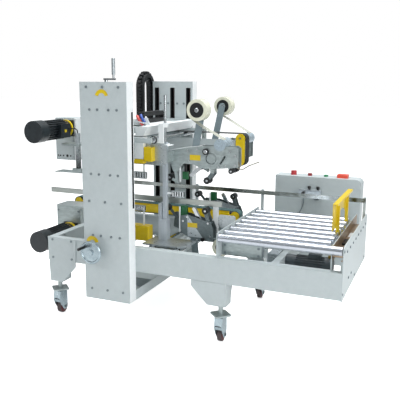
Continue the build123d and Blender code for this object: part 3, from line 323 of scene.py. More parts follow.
# belts' frames with yellow covers and grey inner sides, motors and drive boxes
upperCover = {"left": -120, "skin": 150.2, "inside": 155}
dress("upper_belt_frame", powderCoat, [
    (yellowEnamel, lambda x, y, z: y < upperCover["skin"] and x > upperCover["left"]),
    (greyEnamel, lambda x, y, z: y < upperCover["inside"] and x > upperCover["left"]),
])
lowerCover = {"low": 592, "skin": 154.2, "inside": 198}
dress("lower_belt_frame", castAluminium, [
    (yellowEnamel, lambda x, y, z: y < lowerCover["skin"] and z > lowerCover["low"]),
    (greyEnamel, lambda x, y, z: z > lowerCover["low"] and y < lowerCover["inside"]),
])
for name in ("lower_motor", "upper_motor"):
    dress(name, blackEnamel)
drives = {"lowerFront": 0.2, "upperSide": -1217, "gearCaseRight": 301}
dress("lower_drive_box", powderCoat, [(zincPlate, lambda x, y, z: y < drives["lowerFront"])])
# painted highlight: the upper box's right fold takes the white coating to look lit
dress("upper_drive_box", powderCoat, [(whiteCoat, lambda x, y, z: x > drives["upperSide"])])
dress("infeed_motor", greyEnamel, [(castAluminium, lambda x, y, z: x < drives["gearCaseRight"])])

# roller table: cover box whose front takes the zinc plate's darker finish as painted shade under the rollers,
# bare tray
coverBox = {"right": 240, "front": -349.5, "frontInside": -344.8, "back": -289}
tray = {"left": 630.5, "low": 562, "top": 644}
dress("table_bearers", powderCoat, [
    # painted shade: the cover box's front is darkened with the zinc plate finish
    (zincPlate, lambda x, y, z: x < coverBox["right"] and coverBox["front"] < y < coverBox["frontInside"]),
    (castAluminium, lambda x, y, z: x < coverBox["right"] and y < coverBox["back"]),
    (brownSheet, lambda x, y, z: x > tray["left"] and tray["low"] < z < tray["top"]),
])

# cabinet with its buttons, switch box and air unit; each button is given by its X and reach
cabinet = {"top": 850.5, "front": 559, "crimson": (163, 21), "red": (276, 16), "green": (387, 16),
           "airUnit": (721, 770), "switchBox": (690, 722)}


def onButton(x, z, button):
    return z > cabinet["top"] and abs(x - button[0]) < button[1]


def onFront(y, z, levels):
    return y < cabinet["front"] and levels[0] < z < levels[1]


dress("cabinet", powderCoat, [
    (crimsonPlastic, lambda x, y, z: onButton(x, z, cabinet["crimson"])),
    (redPlastic, lambda x, y, z: onButton(x, z, cabinet["red"])),
    (greenPlastic, lambda x, y, z: onButton(x, z, cabinet["green"])),
    (orangePlastic, lambda x, y, z: z > cabinet["top"]),
    (castAluminium, lambda x, y, z: onFront(y, z, cabinet["airUnit"])),
    (greyEnamel, lambda x, y, z: onFront(y, z, cabinet["switchBox"])),
], edgeMm=1.5)

# casters: black painted shade in the swivel's gap and in the fork's slot, axle ends in the darker plate
# finish; wheels with a grey tread and a bright hub
swivels = {"near_left": -384, "near_mid": -384, "far_left": 384, "far_mid": 384}
caster = {"trail": 14, "axleZ": 42, "gapShadeLow": 158.2, "nose": 22, "slotLow": 103.5, "slotTop": 110.5,
          "axleEnd": 8.5, "tread": 36, "hub": 12}
for corner, swivelY in swivels.items():
    axleY, axleZ = swivelY + caster["trail"], caster["axleZ"]
    dress(corner + "_fork", pressedZinc, [
        # painted shade: black along the gap under the swivel plate and in the slot
        (blackPlastic, lambda x, y, z: z > caster["gapShadeLow"]),
        (blackPlastic, lambda x, y, z: y < swivelY - caster["nose"]
         and caster["slotLow"] < z < caster["slotTop"]),
        (darkPlate, lambda x, y, z: max(abs(y - axleY), abs(z - axleZ)) < caster["axleEnd"]),
    ])
    dress(corner + "_wheel", darkUrethane, [
        (greyUrethane, lambda x, y, z: hypot(y - axleY, z - axleZ) > caster["tread"]),
        (polishedSteel, lambda x, y, z: hypot(y - axleY, z - axleZ) < caster["hub"]),
    ])

# reels: black core in cream tape, on a bright spindle
reels = {"upper_near_reel": (-212, 1322), "upper_far_reel": (-292, 1318), "lower_near_reel": (-242, 366),
         "lower_far_reel": (-242, 366)}
boreReach, coreReach = 9.5, 38.6
for name, hub in reels.items():
    dress(name, packTape, [
        (polishedSteel, lambda x, y, z: near(x, z, boreReach, *hub)),
        (blackPlastic, lambda x, y, z: near(x, z, coreReach, *hub)),
    ])

# tape heads: X and Z of the rubber rollers, with the reach of their rubber and the radius of their pins
applyRoller, wipeRoller, nipRoller = (-178, 900, 21.6, 7), (-424, 905, 22.6, 7), (-26, 966, 15.6, 6)
lowApplyRoller, lowWipeRoller = (-188, 712, 20.6, 7), (-450, 708, 20.6, 7)
nearPlate, farPlate = -160, 340  # Y of the heads' outer plates
drums = {"upper_near_head": (-94, 1119), "upper_far_head": (-94, 1116)}
knob, lowKnob = (-179, 1077), (-196, 535)  # black knobs on the plates
lid = {"x": -421, "z": 1072.5, "slope": 0.176}  # a point in the middle of the white lid, and its slope


def onRoller(x, z, roller):
    return near(x, z, roller[2], *roller[:2])


def upperHeadZones(plateY, drum, hub, armLow):
    return [  # rollers, applying arm, drum where it shows, knob, pad and its stem
        (blackRubber, lambda x, y, z: onRoller(x, z, applyRoller)),
        (blackRubber, lambda x, y, z: onRoller(x, z, wipeRoller) or onRoller(x, z, nipRoller)),
        # applying arm in the darker plate finish: painted shade
        (darkPlate, lambda x, y, z: z < 957 and -215 < x < -125),
        (blueAluminium, lambda x, y, z: near(x, z, 36.6, *drum)
         and (y < plateY or y > plateY + 60 or not near(x, z, 35.2, *drum))),
        (blackPlastic, lambda x, y, z: near(x, z, 20, *knob) and y < plateY - 0.5),
        (greenPad, lambda x, y, z: -345 < x < -309 and 896 < z < 943 and y > plateY + 18),
        (blackPlastic, lambda x, y, z: -335 < x < -321 and 942 < z < 1012),
        # upright strip, air cylinder, spindle, guide wire, lid, reel arm
        (whiteCoat, lambda x, y, z: -358 < x < -348 and z < 1030 and y < plateY + 14),
        (polishedSteel, lambda x, y, z: -310 < x < -190 and 905 < z < 1005 and plateY + 15 < y < plateY + 40),
        (polishedSteel, lambda x, y, z: near(x, z, 12.6, *hub)),
        (drawnWire, lambda x, y, z: x > -22 and z < 1030 and plateY + 54 < y < plateY + 60.5),
        (whiteCoat, lambda x, y, z: -423 < x < -208
         and abs(z - lid["z"] - (x - lid["x"]) * lid["slope"]) < 2.4),
        (armEnamel, lambda x, y, z: z > armLow and x < -170),
    ]


def lowerHeadZones(plateY, hub):
    return [  # rollers, drum, upright strip, pad and its stem, air cylinder, spindle, knob, reel arm
        (blackRubber, lambda x, y, z: onRoller(x, z, lowApplyRoller) or onRoller(x, z, lowWipeRoller)),
        (castAluminium, lambda x, y, z: near(x, z, 26.6, -250, 600)),
        (whiteCoat, lambda x, y, z: -361 < x < -351 and y < plateY + 14),
        (greenPad, lambda x, y, z: -359 < x < -315 and 667 < z < 729 and plateY + 20 < y < plateY + 46),
        (blackPlastic, lambda x, y, z: -337 < x < -323 and 623 < z < 668 and plateY + 20 < y < plateY + 46),
        (polishedSteel, lambda x, y, z: -280 < x < -215 and 640 < z < 732 and plateY + 16 < y < plateY + 42),
        (polishedSteel, lambda x, y, z: near(x, z, 8.6, *hub)),
        (blackPlastic, lambda x, y, z: near(x, z, 12.6, *lowKnob) and y < plateY - 0.5),
        (armEnamel, lambda x, y, z: z < 518),
    ]


for name, plateY, reel, armLow in (("upper_near_head", nearPlate, "upper_near_reel", 1112),
                                   ("upper_far_head", farPlate, "upper_far_reel", 1166)):
    dress(name, zincPlate, upperHeadZones(plateY, drums[name], reels[reel], armLow))
# the lower heads' plates take the darker plate finish, which paints their shade
for name, plateY, reel in (("lower_near_head", nearPlate, "lower_near_reel"),
                           ("lower_far_head", farPlate, "lower_far_reel")):
    dress(name, darkPlate, lowerHeadZones(plateY, reels[reel]))

# hold-down bar with its upright cylinder and cable, energy chains with their hoses, crank and handwheel
cylinder = {"x": -1115, "reach": 18, "low": 912, "barrel": 1010, "cap": 1145}


def inCylinder(x):
    return abs(x - cylinder["x"]) < cylinder["reach"]


dress("hold_down", zincPlate, [
    (blackPlastic, lambda x, y, z: inCylinder(x) and cylinder["low"] < z < cylinder["barrel"]),
    (castAluminium, lambda x, y, z: inCylinder(x) and cylinder["barrel"] - 1 < z < cylinder["cap"] + 0.5),
    (blackPlastic, lambda x, y, z: z > cylinder["cap"]),
])
chains = {"hosesFar": -204.5, "bracketFar": -199.5, "plateLow": 1221, "plateTop": 1226.5, "plateFar": 131,
          "shelfTop": 1212.5, "shelfFar": 330}
dress("drag_chain", chainNylon, [
    (clearHose, lambda x, y, z: y < chains["hosesFar"]),
    (whiteCoat, lambda x, y, z: y < chains["bracketFar"]
     or (chains["plateLow"] < z < chains["plateTop"] and y < chains["plateFar"])),
    (powderCoat, lambda x, y, z: z < chains["shelfTop"] and y < chains["shelfFar"]),
])
crankGripLow = 1519
dress("lift_screw", polishedSteel, [(castAluminium, lambda x, y, z: z > crankGripLow)])
grip = {"far": -568, "x": -790, "z": 522, "reach": 10}
dress("handwheel", pressedZinc, [
    (blackPlastic, lambda x, y, z: y < grip["far"] and near(x, z, grip["reach"], grip["x"], grip["z"])),
])
print("nodes dressed")


# what the node trees share: named sizes in metres at their start, plain mesh in one finish at their end
def openTree(name, sizes):
    tree = bpy.data.node_groups.new(name, "GeometryNodeTree")
    tree.interface.new_socket("Geometry", in_out="INPUT", socket_type="NodeSocketGeometry")
    for size, value in sizes.items():
        tree.interface.new_socket(size, in_out="INPUT", socket_type="NodeSocketFloat").default_value = value
    tree.interface.new_socket("Geometry", in_out="OUTPUT", socket_type="NodeSocketGeometry")
    return tree, add(tree, "NodeGroupInput")


def closeTree(tree, shown, material):
    real = add(tree, "GeometryNodeRealizeInstances", links={"Geometry": shown})
    colored = add(tree, "GeometryNodeSetMaterial", {"Material": material},
                  {"Geometry": real.outputs["Geometry"]})
    result = add(tree, "NodeGroupOutput")
    tree.links.new(colored.outputs["Geometry"], result.inputs[0])
    return tree


def applyTree(name, source, tree, body, settings):  # run a node tree once and keep its plain mesh
    holder = bpy.data.objects.new(name + "_source", source)
    bpy.context.collection.objects.link(holder)
    modifier = holder.modifiers.new("tree", "NODES")
    modifier.node_group = tree
    for item in tree.interface.items_tree:
        if item.in_out == "INPUT" and item.name in settings:
            modifier[item.identifier] = settings[item.name]
    shown = holder.evaluated_get(bpy.context.evaluated_depsgraph_get())
    mesh = bpy.data.meshes.new_from_object(shown)
    mesh.name = name
    holder.modifiers.clear()
    bpy.data.objects.remove(holder)
    return keep(name, mesh, body)


# hexagon socket screws, set by a node tree on a cloud of points that face outwards
def screwTree(material):
    tree, given = openTree("socketScrews", {"Head radius": 0.007, "Head height": 0.004,
                                            "Socket radius": 0.0035})
    head = add(tree, "GeometryNodeMeshCylinder", {"Vertices": 20},
               {"Radius": given.outputs["Head radius"], "Depth": given.outputs["Head height"]})
    socket = add(tree, "GeometryNodeMeshCylinder", {"Vertices": 6},
                 {"Radius": given.outputs["Socket radius"], "Depth": given.outputs["Head height"]})
    lift = add(tree, "ShaderNodeCombineXYZ", links={"Z": given.outputs["Head height"]})
    half = add(tree, "ShaderNodeVectorMath", {"operation": "SCALE", "Scale": 0.5}, {0: lift.outputs[0]})
    raised = add(tree, "GeometryNodeTransform", links={"Geometry": socket.outputs["Mesh"],
                                                      "Translation": half.outputs[0]})
    cut = add(tree, "GeometryNodeMeshBoolean", {"operation": "DIFFERENCE"},
              {"Mesh 1": head.outputs["Mesh"], "Mesh 2": raised.outputs["Geometry"]})
    facing = add(tree, "GeometryNodeInputNamedAttribute", {"data_type": "FLOAT_VECTOR", "Name": "facing"})
    turn = add(tree, "FunctionNodeAlignRotationToVector", {"axis": "Z"}, {"Vector": facing.outputs[0]})
    onPoints = add(tree, "GeometryNodeInstanceOnPoints", links={
        "Points": given.outputs["Geometry"], "Instance": cut.outputs["Mesh"],
        "Rotation": turn.outputs["Rotation"]})
    return closeTree(tree, onPoints.outputs["Instances"], material)


def screwPoints(name, rows):  # a cloud of points from (x, y, z, facing) in machine millimetres
    mesh = bpy.data.meshes.new(name + "_points")
    mesh.from_pydata([place(*row[:3]) for row in rows], [], [])
    facing = mesh.attributes.new("facing", "FLOAT_VECTOR", "POINT")
    for i, row in enumerate(rows):
        facing.data[i].vector = row[3]
    return mesh


toLeft, toRight = (-1, 0, 0), (1, 0, 0)
toNear, toFar = (0, -1, 0), (0, 1, 0)
toFloor, toTop = (0, 0, -1), (0, 0, 1)
columnFace, columnInside, legFace = 498.5, 420.5, 428.5  # distance of the screws from the middle plane
plateLeft, plateRight = -6.5, 697.5  # X of the screws in the table's side plates
columnScrews = {1451: (-783, -677, -574), 1324: (-765, -713, -640, -586), 952: (-767, -713, -638, -587),
                790: (-785, -677, -569), 584: (-766, -711, -641, -583), 250: (-783, -675, -568)}
frameRows = []
for z, xs in columnScrews.items():
    frameRows += [(x, -columnFace, z, toNear) for x in xs] + [(x, columnFace, z, toFar) for x in xs]
for x in (-768, -710, -640, -589):
    frameRows += [(x, columnInside, 1329, toNear), (x, columnInside, 980, toNear),
                  (x, -columnInside, 1329, toFar)]
for x in (-1113, -974):  # left leg plates on the beams
    for z in (386, 502):
        frameRows += [(x, -legFace, z, toNear), (x, legFace, z, toFar)]
for x in (-800, -555):  # under the columns
    frameRows += [(x, -300, 186, toFloor), (x, 300, 186, toFloor)]
frameRows += [(plateLeft, -410 + 99 * k, 631, toLeft) for k in range(8)]  # roller axles on the left plate
frameRows += [(plateRight, -410, 631, toRight)]
frameRows += [(plateRight, -315 + 97.4 * k, 607, toRight) for k in range(8)]  # below the right plate's edge
frameRows += [(plateRight, y, z, toRight) for y, z in ((396, 384), (0, 384), (-139, 437), (-230, 437),
                                                       (-404, 395))]
frameRows += [(x, -350.3, z, toNear) for x in (18, 217) for z in (532, 574)]  # cover box
frameRows += [(x, -3.5, z, toNear) for x in (-1370, -1204) for z in (448, 586)]  # lower drive box
headRows = [(x, nearPlate - 1.5, z, toNear) for x, z in (
    (-395, 1045), (-300, 1075), (-240, 1090), (-30, 1085), (5, 1060), (5, 1005), (-60, 992), (-290, 1012),
    (-100, 990))]
headRows += [(x, -261, z, toNear) for x, z in ((-425, 1110), (-425, 1010), (-500, 1110), (-640, 1050))]
lowRows = [(x, nearPlate - 1.5, z, toNear) for x, z in (
    (-330, 640), (-304, 668), (-165, 640), (-150, 560), (-235, 530))]
beltRows = [(-73, 145, z, toNear) for z in (985, 1133)]
beltRows += [(x, -4.5, z, toNear) for x in (-1350, -1228) for z in (966, 1200)]
plugRows = [(x, -3.6, 974, toNear) for x in (-1352, -1334, -1308, -1249)]

frameScrew = {"Head radius": 0.0075, "Head height": 0.004, "Socket radius": 0.0045}
smallScrew = {"Head radius": 0.006, "Head height": 0.004, "Socket radius": 0.003}
plug = {"Head radius": 0.0055, "Head height": 0.002, "Socket radius": 0.0025}
dullScrews, brightScrews, blackPlugs = screwTree(dullZinc), screwTree(polishedSteel), screwTree(blackPlastic)
for name, rows, tree, owner, sizes in (
        ("frame_screws", frameRows, dullScrews, "columns", frameScrew),
        ("upper_carriage_screws", headRows, brightScrews, "upper_near_head", smallScrew),
        ("lower_carriage_screws", lowRows, brightScrews, "lower_near_head", smallScrew),
        ("crosshead_screws", beltRows, brightScrews, "crosshead", smallScrew),
        ("drive_box_plugs", plugRows, blackPlugs, "upper_drive_box", plug)):
    applyTree(name, screwPoints(name, rows), tree, bodyOf[owner], sizes)
print("screws set")


# energy chain links: blocks at even steps along a path
def linkTree(material):
    tree, given = openTree("chainLinks", {"Pitch": 0.024, "Height": 0.026, "Width": 0.06, "Length": 0.018})
    path = add(tree, "GeometryNodeMeshToCurve", links={"Mesh": given.outputs["Geometry"]})
    steps = add(tree, "GeometryNodeResampleCurve", {"mode": "LENGTH"},
                {"Curve": path.outputs["Curve"], "Length": given.outputs["Pitch"]})
    size = add(tree, "ShaderNodeCombineXYZ", links={"X": given.outputs["Height"], "Y": given.outputs["Width"],
                                                    "Z": given.outputs["Length"]})
    block = add(tree, "GeometryNodeMeshCube", links={"Size": size.outputs[0]})
    points = add(tree, "GeometryNodeCurveToPoints", {"mode": "EVALUATED"}, {"Curve": steps.outputs["Curve"]})
    onPoints = add(tree, "GeometryNodeInstanceOnPoints", links={
        "Points": points.outputs["Points"], "Instance": block.outputs["Mesh"],
        "Rotation": points.outputs["Rotation"]})
    return closeTree(tree, onPoints.outputs["Instances"], material)


def pathMesh(name, points):
    mesh = bpy.data.meshes.new(name)
    mesh.from_pydata([place(*p) for p in points], [(i, i + 1) for i in range(len(points) - 1)], [])
    return mesh


# the upright chain's loop: its two straight legs and the turn above them
loop = {"x": -864, "near": 300, "far": 450, "turn": 1444, "nearLow": 1222, "farLow": 1158, "steps": 24,
        "link": {"Pitch": 0.022, "Height": 0.030, "Width": 0.060, "Length": 0.016}}
radius = (loop["far"] - loop["near"]) / 2
middle = (loop["far"] + loop["near"]) / 2
angles = [pi * i / loop["steps"] for i in range(loop["steps"] + 1)]
points = [(loop["x"], loop["near"], loop["nearLow"])]
points += [(loop["x"], middle - radius * cos(a), loop["turn"] + radius * sin(a)) for a in angles]
points += [(loop["x"], loop["far"], loop["farLow"])]
applyTree("upright_chain_links", pathMesh("upright", points), linkTree(chainNylon), bodyOf["drag_chain"],
          loop["link"])
print("chain links set")


# hoses, wire and cable: a round section along a path of points
def tubeTree(material):
    tree, given = openTree("hoseTube", {"Radius": 0.006})
    path = add(tree, "GeometryNodeMeshToCurve", links={"Mesh": given.outputs["Geometry"]})
    section = add(tree, "GeometryNodeCurvePrimitiveCircle", {"Resolution": 16},
                  {"Radius": given.outputs["Radius"]})
    tube = add(tree, "GeometryNodeCurveToMesh", {"Fill Caps": True},
               {"Curve": path.outputs["Curve"], "Profile Curve": section.outputs["Curve"]})
    return closeTree(tree, tube.outputs["Mesh"], material)


def bendPoints(start, pull, end, count=12):  # a soft bend from start to end, drawn towards the middle point
    steps = [i / count for i in range(count + 1)]
    return [tuple((1 - t) ** 2 * a + 2 * t * (1 - t) * b + t * t * c for a, b, c in zip(start, pull, end))
            for t in steps]


tubes = {  # route in machine millimetres, finish, the node it is fixed to, radius in metres
    "red_air_hose": (bendPoints((-616, -206, 1276), (-600, -222, 1262), (-574, -214, 1220)), redHose,
                     "drag_chain", 0.0085),
    "blue_air_hose": (bendPoints((-590, -206, 1284), (-580, -220, 1270), (-560, -212, 1236)), blueHose,
                      "drag_chain", 0.0075),
    "near_guide_wire": ([(-20, -102.5, 997), (7, -102.5, 976), (33, -102.5, 976), (68, -102.5, 999),
                         (132, -102.5, 1026)], drawnWire, "upper_near_head", 0.0033),
    "valve_cable": ([(254.4, 551, 721), (254.4, 552, 692), (252.6, 553, 667), (246, 553, 638),
                     (234.5, 553, 612), (222, 554, 586), (214, 558, 566)], cableSheath, "cabinet", 0.0028),
}
for name, (route, material, owner, radius) in tubes.items():
    applyTree(name, pathMesh(name + "_path", route), tubeTree(material), bodyOf[owner], {"Radius": radius})
print("hoses set")


# banks of small upright press rollers between two plates, hung on a bar
def rollerTree(material):
    tree, given = openTree("uprightRollers", {"Roller radius": 0.006, "Roller height": 0.03})
    drum = add(tree, "GeometryNodeMeshCylinder", {"Vertices": 24},
               {"Radius": given.outputs["Roller radius"], "Depth": given.outputs["Roller height"]})
    onPoints = add(tree, "GeometryNodeInstanceOnPoints", links={
        "Points": given.outputs["Geometry"], "Instance": drum.outputs["Mesh"]})
    return closeTree(tree, onPoints.outputs["Instances"], material)


def slab(name, corners, thick, facing, material, body):  # a flat plate from its outline, in millimetres
    bm = bmesh.new()
    face = bm.faces.new([bm.verts.new(place(*corner)) for corner in corners])
    moved = bmesh.ops.extrude_face_region(bm, geom=[face])["geom"]
    bmesh.ops.translate(bm, verts=[v for v in moved if isinstance(v, bmesh.types.BMVert)],
                        vec=Vector(facing) * thick / 1000)
    bmesh.ops.recalc_face_normals(bm, faces=bm.faces)
    mesh = bpy.data.meshes.new(name)
    bm.to_mesh(mesh)
    bm.free()
    return keep(name, mesh, body, [material])


def rectangle(low, high):  # outline between two opposite corners that share one coordinate
    first, second = [k for k in range(3) if low[k] != high[k]]
    along, across = list(low), list(low)
    along[first], across[second] = high[first], high[second]
    return [low, along, high, across]


def arch(cx, cz, outer, inner, y=-497.2, start=12, end=168, count=24):  # outline of a flat arch
    angles = [radians(start + (end - start) * i / count) for i in range(count + 1)]
    back = [(cx + outer * cos(a), y, cz + outer * sin(a)) for a in angles]
    return back + [(cx + inner * cos(a), y, cz + inner * sin(a)) for a in reversed(angles)]


pressRollers = rollerTree(polishedSteel)
banks = {  # x, z and the rollers' y of each bank, x and z of its bar, the node that carries it
    "upper_press_bank": {"x": (-616, -533), "z": (903, 944), "y": -252, "barX": (-556, -546),
                         "barZ": (944, 992), "owner": "upper_near_carriage"},
    "lower_press_bank": {"x": (-628, -558), "z": (695, 729), "y": -230, "barX": (-572, -562),
                         "barZ": (606, 695), "owner": "lower_near_carriage"},
    "middle_press_bank": {"x": (-386, -308), "z": (796, 832), "y": -200, "barX": (-418, -386),
                          "barZ": (808, 820), "owner": "lower_near_carriage"},
}
bankBuild = {"rollers": 5, "radius": 6.5, "margin": 6, "endGap": 3.5, "plate": 4, "lip": 2, "half": 9,
             "backY": 7, "back": 2, "barY": 1, "bar": 5}
for name, bank in banks.items():
    (left, right), (low, high), y, body = bank["x"], bank["z"], bank["y"], bodyOf[bank["owner"]]
    margin, gap, lip, half = (bankBuild[key] for key in ("margin", "endGap", "lip", "half"))
    step = (right - left - 2 * margin) / (bankBuild["rollers"] - 1)
    rows = [(left + margin + step * k, y, (low + high) / 2, toTop) for k in range(bankBuild["rollers"])]
    applyTree(name, screwPoints(name, rows), pressRollers, body,
              {"Roller radius": bankBuild["radius"] / 1000, "Roller height": (high - low - 2 * gap) / 1000})
    for part, z in (("floor", low), ("roof", high - bankBuild["plate"])):
        slab("%s_%s" % (name, part), rectangle((left - lip, y - half, z), (right + lip, y + half, z)),
             bankBuild["plate"], toTop, castAluminium, body)
    backY, barY = y + bankBuild["backY"], y + bankBuild["barY"]
    # each bank's back plate is in the darker plate finish: painted shade behind the rollers
    slab(name + "_back", rectangle((left - lip, backY, low + gap), (right + lip, backY, high - gap)),
         bankBuild["back"], toFar, darkPlate, body)
    (barLeft, barRight), (barLow, barHigh) = bank["barX"], bank["barZ"]
    slab(name + "_bar", rectangle((barLeft, barY, barLow), (barRight, barY, barHigh)),
         bankBuild["bar"], toFar, whiteCoat, body)

plates = {  # outline, thickness in millimetres, the way it faces, finish, the node it is fixed to
    "upper_arc_plate": (arch(-683, 1396, 43, 22), 0.8, toNear, yellowEnamel, "columns"),
    "lower_arc_plate": (arch(-771, 535, 43, 20), 0.8, toNear, yellowEnamel, "columns"),
    "upper_head_plate": (rectangle((-286, nearPlate - 0.2, 1020), (-217, nearPlate - 0.2, 1053)), 0.8, toNear,
                         yellowEnamel, "upper_near_head"),
    "lower_head_plate": (rectangle((-300, nearPlate - 0.2, 604), (-235, nearPlate - 0.2, 633)), 0.8, toNear,
                         yellowEnamel, "lower_near_head"),
    "terminal_plate": (rectangle((-1183.8, -154, 1150), (-1183.8, -132, 1168)), 0.8, toRight, yellowEnamel,
                       "upper_motor"),
    "tray_plate": (rectangle((640, 46, 592.2), (684, 153, 592.2)), 1.5, toTop, whiteCoat, "table_bearers"),
    "tray_block": (rectangle((638, -150, 592.2), (684, -40, 592.2)), 11, toTop, blackPlastic,
                   "table_bearers"),
}
for name, (outline, thick, facing, material, owner) in plates.items():
    slab(name, outline, thick, facing, material, bodyOf[owner])


def turned(name, centre, profile, material, body, axis="Y", steps=40):  # profile: (radius, along) points
    bm = bmesh.new()
    rings = []
    for radius, along in profile:
        ring = []
        for i in range(steps):
            u, v = radius * cos(2 * pi * i / steps), radius * sin(2 * pi * i / steps)
            offset = {"X": (along, u, v), "Y": (u, along, v), "Z": (u, v, along)}[axis]
            ring.append(bm.verts.new(place(*(c + o for c, o in zip(centre, offset)))))
        rings.append(ring)
    for first, second in zip(rings, rings[1:]):
        for i in range(steps):
            bm.faces.new((first[i], first[(i + 1) % steps], second[(i + 1) % steps], second[i]))
    if profile[0] == profile[-1]:  # a ring with a hole: its last circle closes on its first
        bmesh.ops.remove_doubles(bm, verts=bm.verts, dist=0.000001)
    else:
        bm.faces.new(rings[0])
        bm.faces.new(rings[-1])
    bmesh.ops.recalc_face_normals(bm, faces=bm.faces)
    for edge in bm.edges:
        edge.smooth = edge.calc_face_angle(0) < radians(35)
    for face in bm.faces:
        face.smooth = True
    mesh = bpy.data.meshes.new(name)
    bm.to_mesh(mesh)
    bm.free()
    return keep(name, mesh, body, [material])


def ringProfile(inner, outer, start, end):
    return [(inner, start), (outer, start), (outer, end), (inner, end), (inner, start)]


# on each belt's motor a yellow collar by the flange, and a brass ring where the finned part begins
for name, z in (("lower_motor", 450), ("upper_motor", 1165)):
    turned(name + "_ring", (-1268, 0, z), ringProfile(52.2, 55.5, -58, -66), warmBrass, bodyOf[name])
    turned(name + "_collar", (-1268, 0, z), ringProfile(52.2, 59, -20, -34), yellowEnamel, bodyOf[name])
turned("infeed_motor_cap", (585, -205, 526), [(9, 0), (9, 11), (7, 14), (3, 14)], warmBrass,
       bodyOf["infeed_motor"], "Z")
turned("near_head_knob_face", (knob[0], nearPlate - 18, knob[1]), [(12, 0.2), (12, -2), (10, -4), (4, -4)],
       polishedSteel, bodyOf["upper_near_head"])
turned("drive_box_boss", (-1277, 0, 974), [(9, -3.2), (9, -4.6), (8, -5.4), (3, -5.4)], blackPlastic,
       bodyOf["upper_drive_box"])

# light pins in the middle of the black rollers, on the near side of each
pinInset = 5
pins = {"upper_near_head": (nearPlate, (applyRoller, wipeRoller, nipRoller)),
        "lower_near_head": (nearPlate, (lowApplyRoller, lowWipeRoller)),
        "upper_far_head": (farPlate, (applyRoller, wipeRoller)),
        "lower_far_head": (farPlate, (lowApplyRoller, lowWipeRoller))}
for name, (plateY, rollers) in pins.items():
    for i, (x, z, _, radius) in enumerate(rollers):
        turned("%s_pin_%d" % (name, i + 1), (x, plateY + pinInset, z),
               [(radius, -0.1), (radius, -1.6), (radius - 1, -2.4), (radius * 0.4, -2.4)], polishedSteel,
               bodyOf[name])

# flanges of the upper reels' cores; the nut in the near one is screwed on the arm's spindle
reelFaces = {"upper_near_reel": -234, "upper_far_reel": 403}
for name, y in reelFaces.items():
    x, z = reels[name]
    turned(name + "_flange", (x, y, z), [(14, 0.1), (14, -1.2), (43, -1.2), (43.5, 0.1), (14, 0.1)],
           blackPlastic, bodyOf[name])
x, z = reels["upper_near_reel"]
turned("upper_near_reel_nut", (x, reelFaces["upper_near_reel"], z), [(13, -0.4), (13, -5), (11, -7), (4, -7)],
       polishedSteel, bodyOf["upper_near_head"])

# knobs on the air unit: two on top, one towards the near side
knobProfile = ((7, 0.2), (7, 5), (11, 7), (11, 20), (9, 23), (3, 23))
knobs = ((291, 545, 766, "Z", 1), (256, 530, 743, "Y", -1), (350, 545, 766, "Z", 1))
for i, (x, y, z, axis, sign) in enumerate(knobs):
    turned("air_knob_%d" % (i + 1), (x, y, z), [(radius, along * sign) for radius, along in knobProfile],
           blackPlastic, bodyOf["cabinet"], axis)

# one layer of tape from under each upper reel to the top of its drum, across to the inner side
tape = {"reelRadius": 64, "drumRadius": 37, "thick": 0.3}


def web(name, reelAt, drumAt, reelY, drumY, straightTo, body):
    reach = hypot(drumAt[0] - reelAt[0], drumAt[1] - reelAt[1])
    lean = (atan2(drumAt[1] - reelAt[1], drumAt[0] - reelAt[0])
            + asin((tape["reelRadius"] + tape["drumRadius"]) / reach))
    side = (sin(lean), -cos(lean))
    start = [c + tape["reelRadius"] * s for c, s in zip(reelAt, side)]
    end = [c - tape["drumRadius"] * s for c, s in zip(drumAt, side)]
    bend = (straightTo, start[1] + (end[1] - start[1]) * (straightTo - start[0]) / (end[0] - start[0]))
    outline = [(start[0], reelY[0], start[1]), (bend[0], reelY[0], bend[1]), (end[0], drumY[0], end[1]),
               (end[0], drumY[1], end[1]), (bend[0], reelY[1], bend[1]), (start[0], reelY[1], start[1])]
    slab(name, outline, tape["thick"], (side[0], 0, side[1]), tapeFilm, body)


web("near_tape_web", reels["upper_near_reel"], drums["upper_near_head"], (-230, -168), (-158, -96), -195,
    bodyOf["upper_near_head"])
web("far_tape_web", reels["upper_far_reel"], drums["upper_far_head"], (409, 471), (334, 396), -275,
    bodyOf["upper_far_head"])
print("plates, turned parts and tape set")

studio = {"floorSide": 60, "floorDrop": 0.0005, "floorGlow": 0.72, "skyStrength": 0.52, "aim": (0, 0, 0.7)}


def showCamera(tree, others, seen, output):  # one shader for the camera's own rays, another for all the rest
    ray = add(tree, "ShaderNodeLightPath")
    mix = add(tree, "ShaderNodeMixShader", links={0: ray.outputs["Is Camera Ray"], 1: others, 2: seen})
    tree.links.new(mix.outputs[0], output.inputs["Surface"])


# pale studio floor that keeps a soft shadow
floorMaterial = bpy.data.materials.new("white_studio_floor")
floorMaterial.use_nodes = True
tree = floorMaterial.node_tree
shader = tree.nodes["Principled BSDF"]
shader.inputs["Roughness"].default_value = 0.9
coords = add(tree, "ShaderNodeTexCoord")
cloud = add(tree, "ShaderNodeTexNoise", {"Scale": 3.0}, {"Vector": coords.outputs["Object"]})
white = add(tree, "ShaderNodeMixRGB", {"Color1": srgb("#FAFAFA"), "Color2": srgb("#FFFFFF")},
            {"Fac": cloud.outputs["Fac"]})
tree.links.new(white.outputs["Color"], shader.inputs["Base Color"])
glow = add(tree, "ShaderNodeEmission", {"Color": (1, 1, 1, 1), "Strength": studio["floorGlow"]})
both = add(tree, "ShaderNodeAddShader", links={0: shader.outputs[0], 1: glow.outputs[0]})
showCamera(tree, shader.outputs[0], both.outputs[0], tree.nodes["Material Output"])
bpy.ops.mesh.primitive_plane_add(size=studio["floorSide"], location=(0, 0, -studio["floorDrop"]))
floor = bpy.context.object
floor.name = "studio_floor"
floor.data.materials.append(floorMaterial)

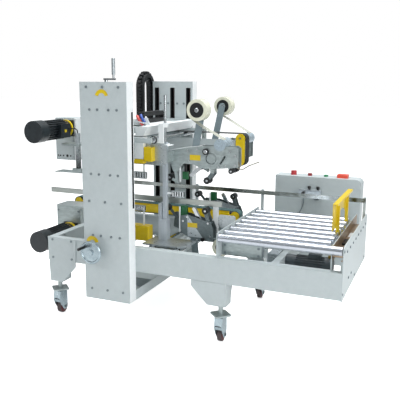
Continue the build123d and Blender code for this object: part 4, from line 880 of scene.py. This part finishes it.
# surroundings that darken towards the horizon, and plain white where the camera looks past the machine
world = bpy.data.worlds.new("studio")
bpy.context.scene.world = world
world.use_nodes = True
tree = world.node_tree
coords = add(tree, "ShaderNodeTexCoord")
parts = add(tree, "ShaderNodeSeparateXYZ", links={"Vector": coords.outputs["Generated"]})
height = add(tree, "ShaderNodeMapRange", {"From Min": -0.05, "From Max": 0.5}, {"Value": parts.outputs["Z"]})
sky = add(tree, "ShaderNodeMixRGB", {"Color1": srgb("#8B9092"), "Color2": srgb("#F4F8FA")},
          {"Fac": height.outputs["Result"]})
dim = tree.nodes["Background"]
dim.inputs["Strength"].default_value = studio["skyStrength"]
tree.links.new(sky.outputs["Color"], dim.inputs["Color"])
bright = add(tree, "ShaderNodeBackground", {"Color": (1, 1, 1, 1), "Strength": 1.0})
showCamera(tree, dim.outputs[0], bright.outputs[0], tree.nodes["World Output"])

softboxes = {  # place and side in metres, power in watts
    "key": ((-3.2, -4.2, 4.0), 2.6, 60),
    "fill": ((4.6, -2.6, 2.4), 3.0, 110),
    "top": ((0.3, 0.4, 4.6), 3.0, 210),
}
for name, (spot, side, power) in softboxes.items():
    lightData = bpy.data.lights.new(name, "AREA")
    lightData.size = side
    lightData.energy = power
    lamp = bpy.data.objects.new(name, lightData)
    bpy.context.collection.objects.link(lamp)
    lamp.location = spot
    lamp.rotation_euler = (Vector(studio["aim"]) - Vector(spot)).to_track_quat("-Z", "Y").to_euler()

# camera solved from the beams and the columns of the machine
view = {"spot": (1.5031, -3.4828, 1.5026), "towards": (-0.3791, 0.9038, -0.1988), "roll": 0.006,
        "lens": 53.99, "sensor": 36}
cameraData = bpy.data.cameras.new("camera")
cameraData.lens = view["lens"]
cameraData.sensor_width = view["sensor"]
camera = bpy.data.objects.new("camera", cameraData)
bpy.context.collection.objects.link(camera)
turn = Vector(view["towards"]).to_track_quat("-Z", "Y").to_matrix().to_4x4()
camera.matrix_world = Matrix.Translation(view["spot"]) @ turn @ Matrix.Rotation(view["roll"], 4, "Z")
bpy.context.scene.camera = camera
bpy.context.scene.view_settings.view_transform = "Standard"

print("scene done")
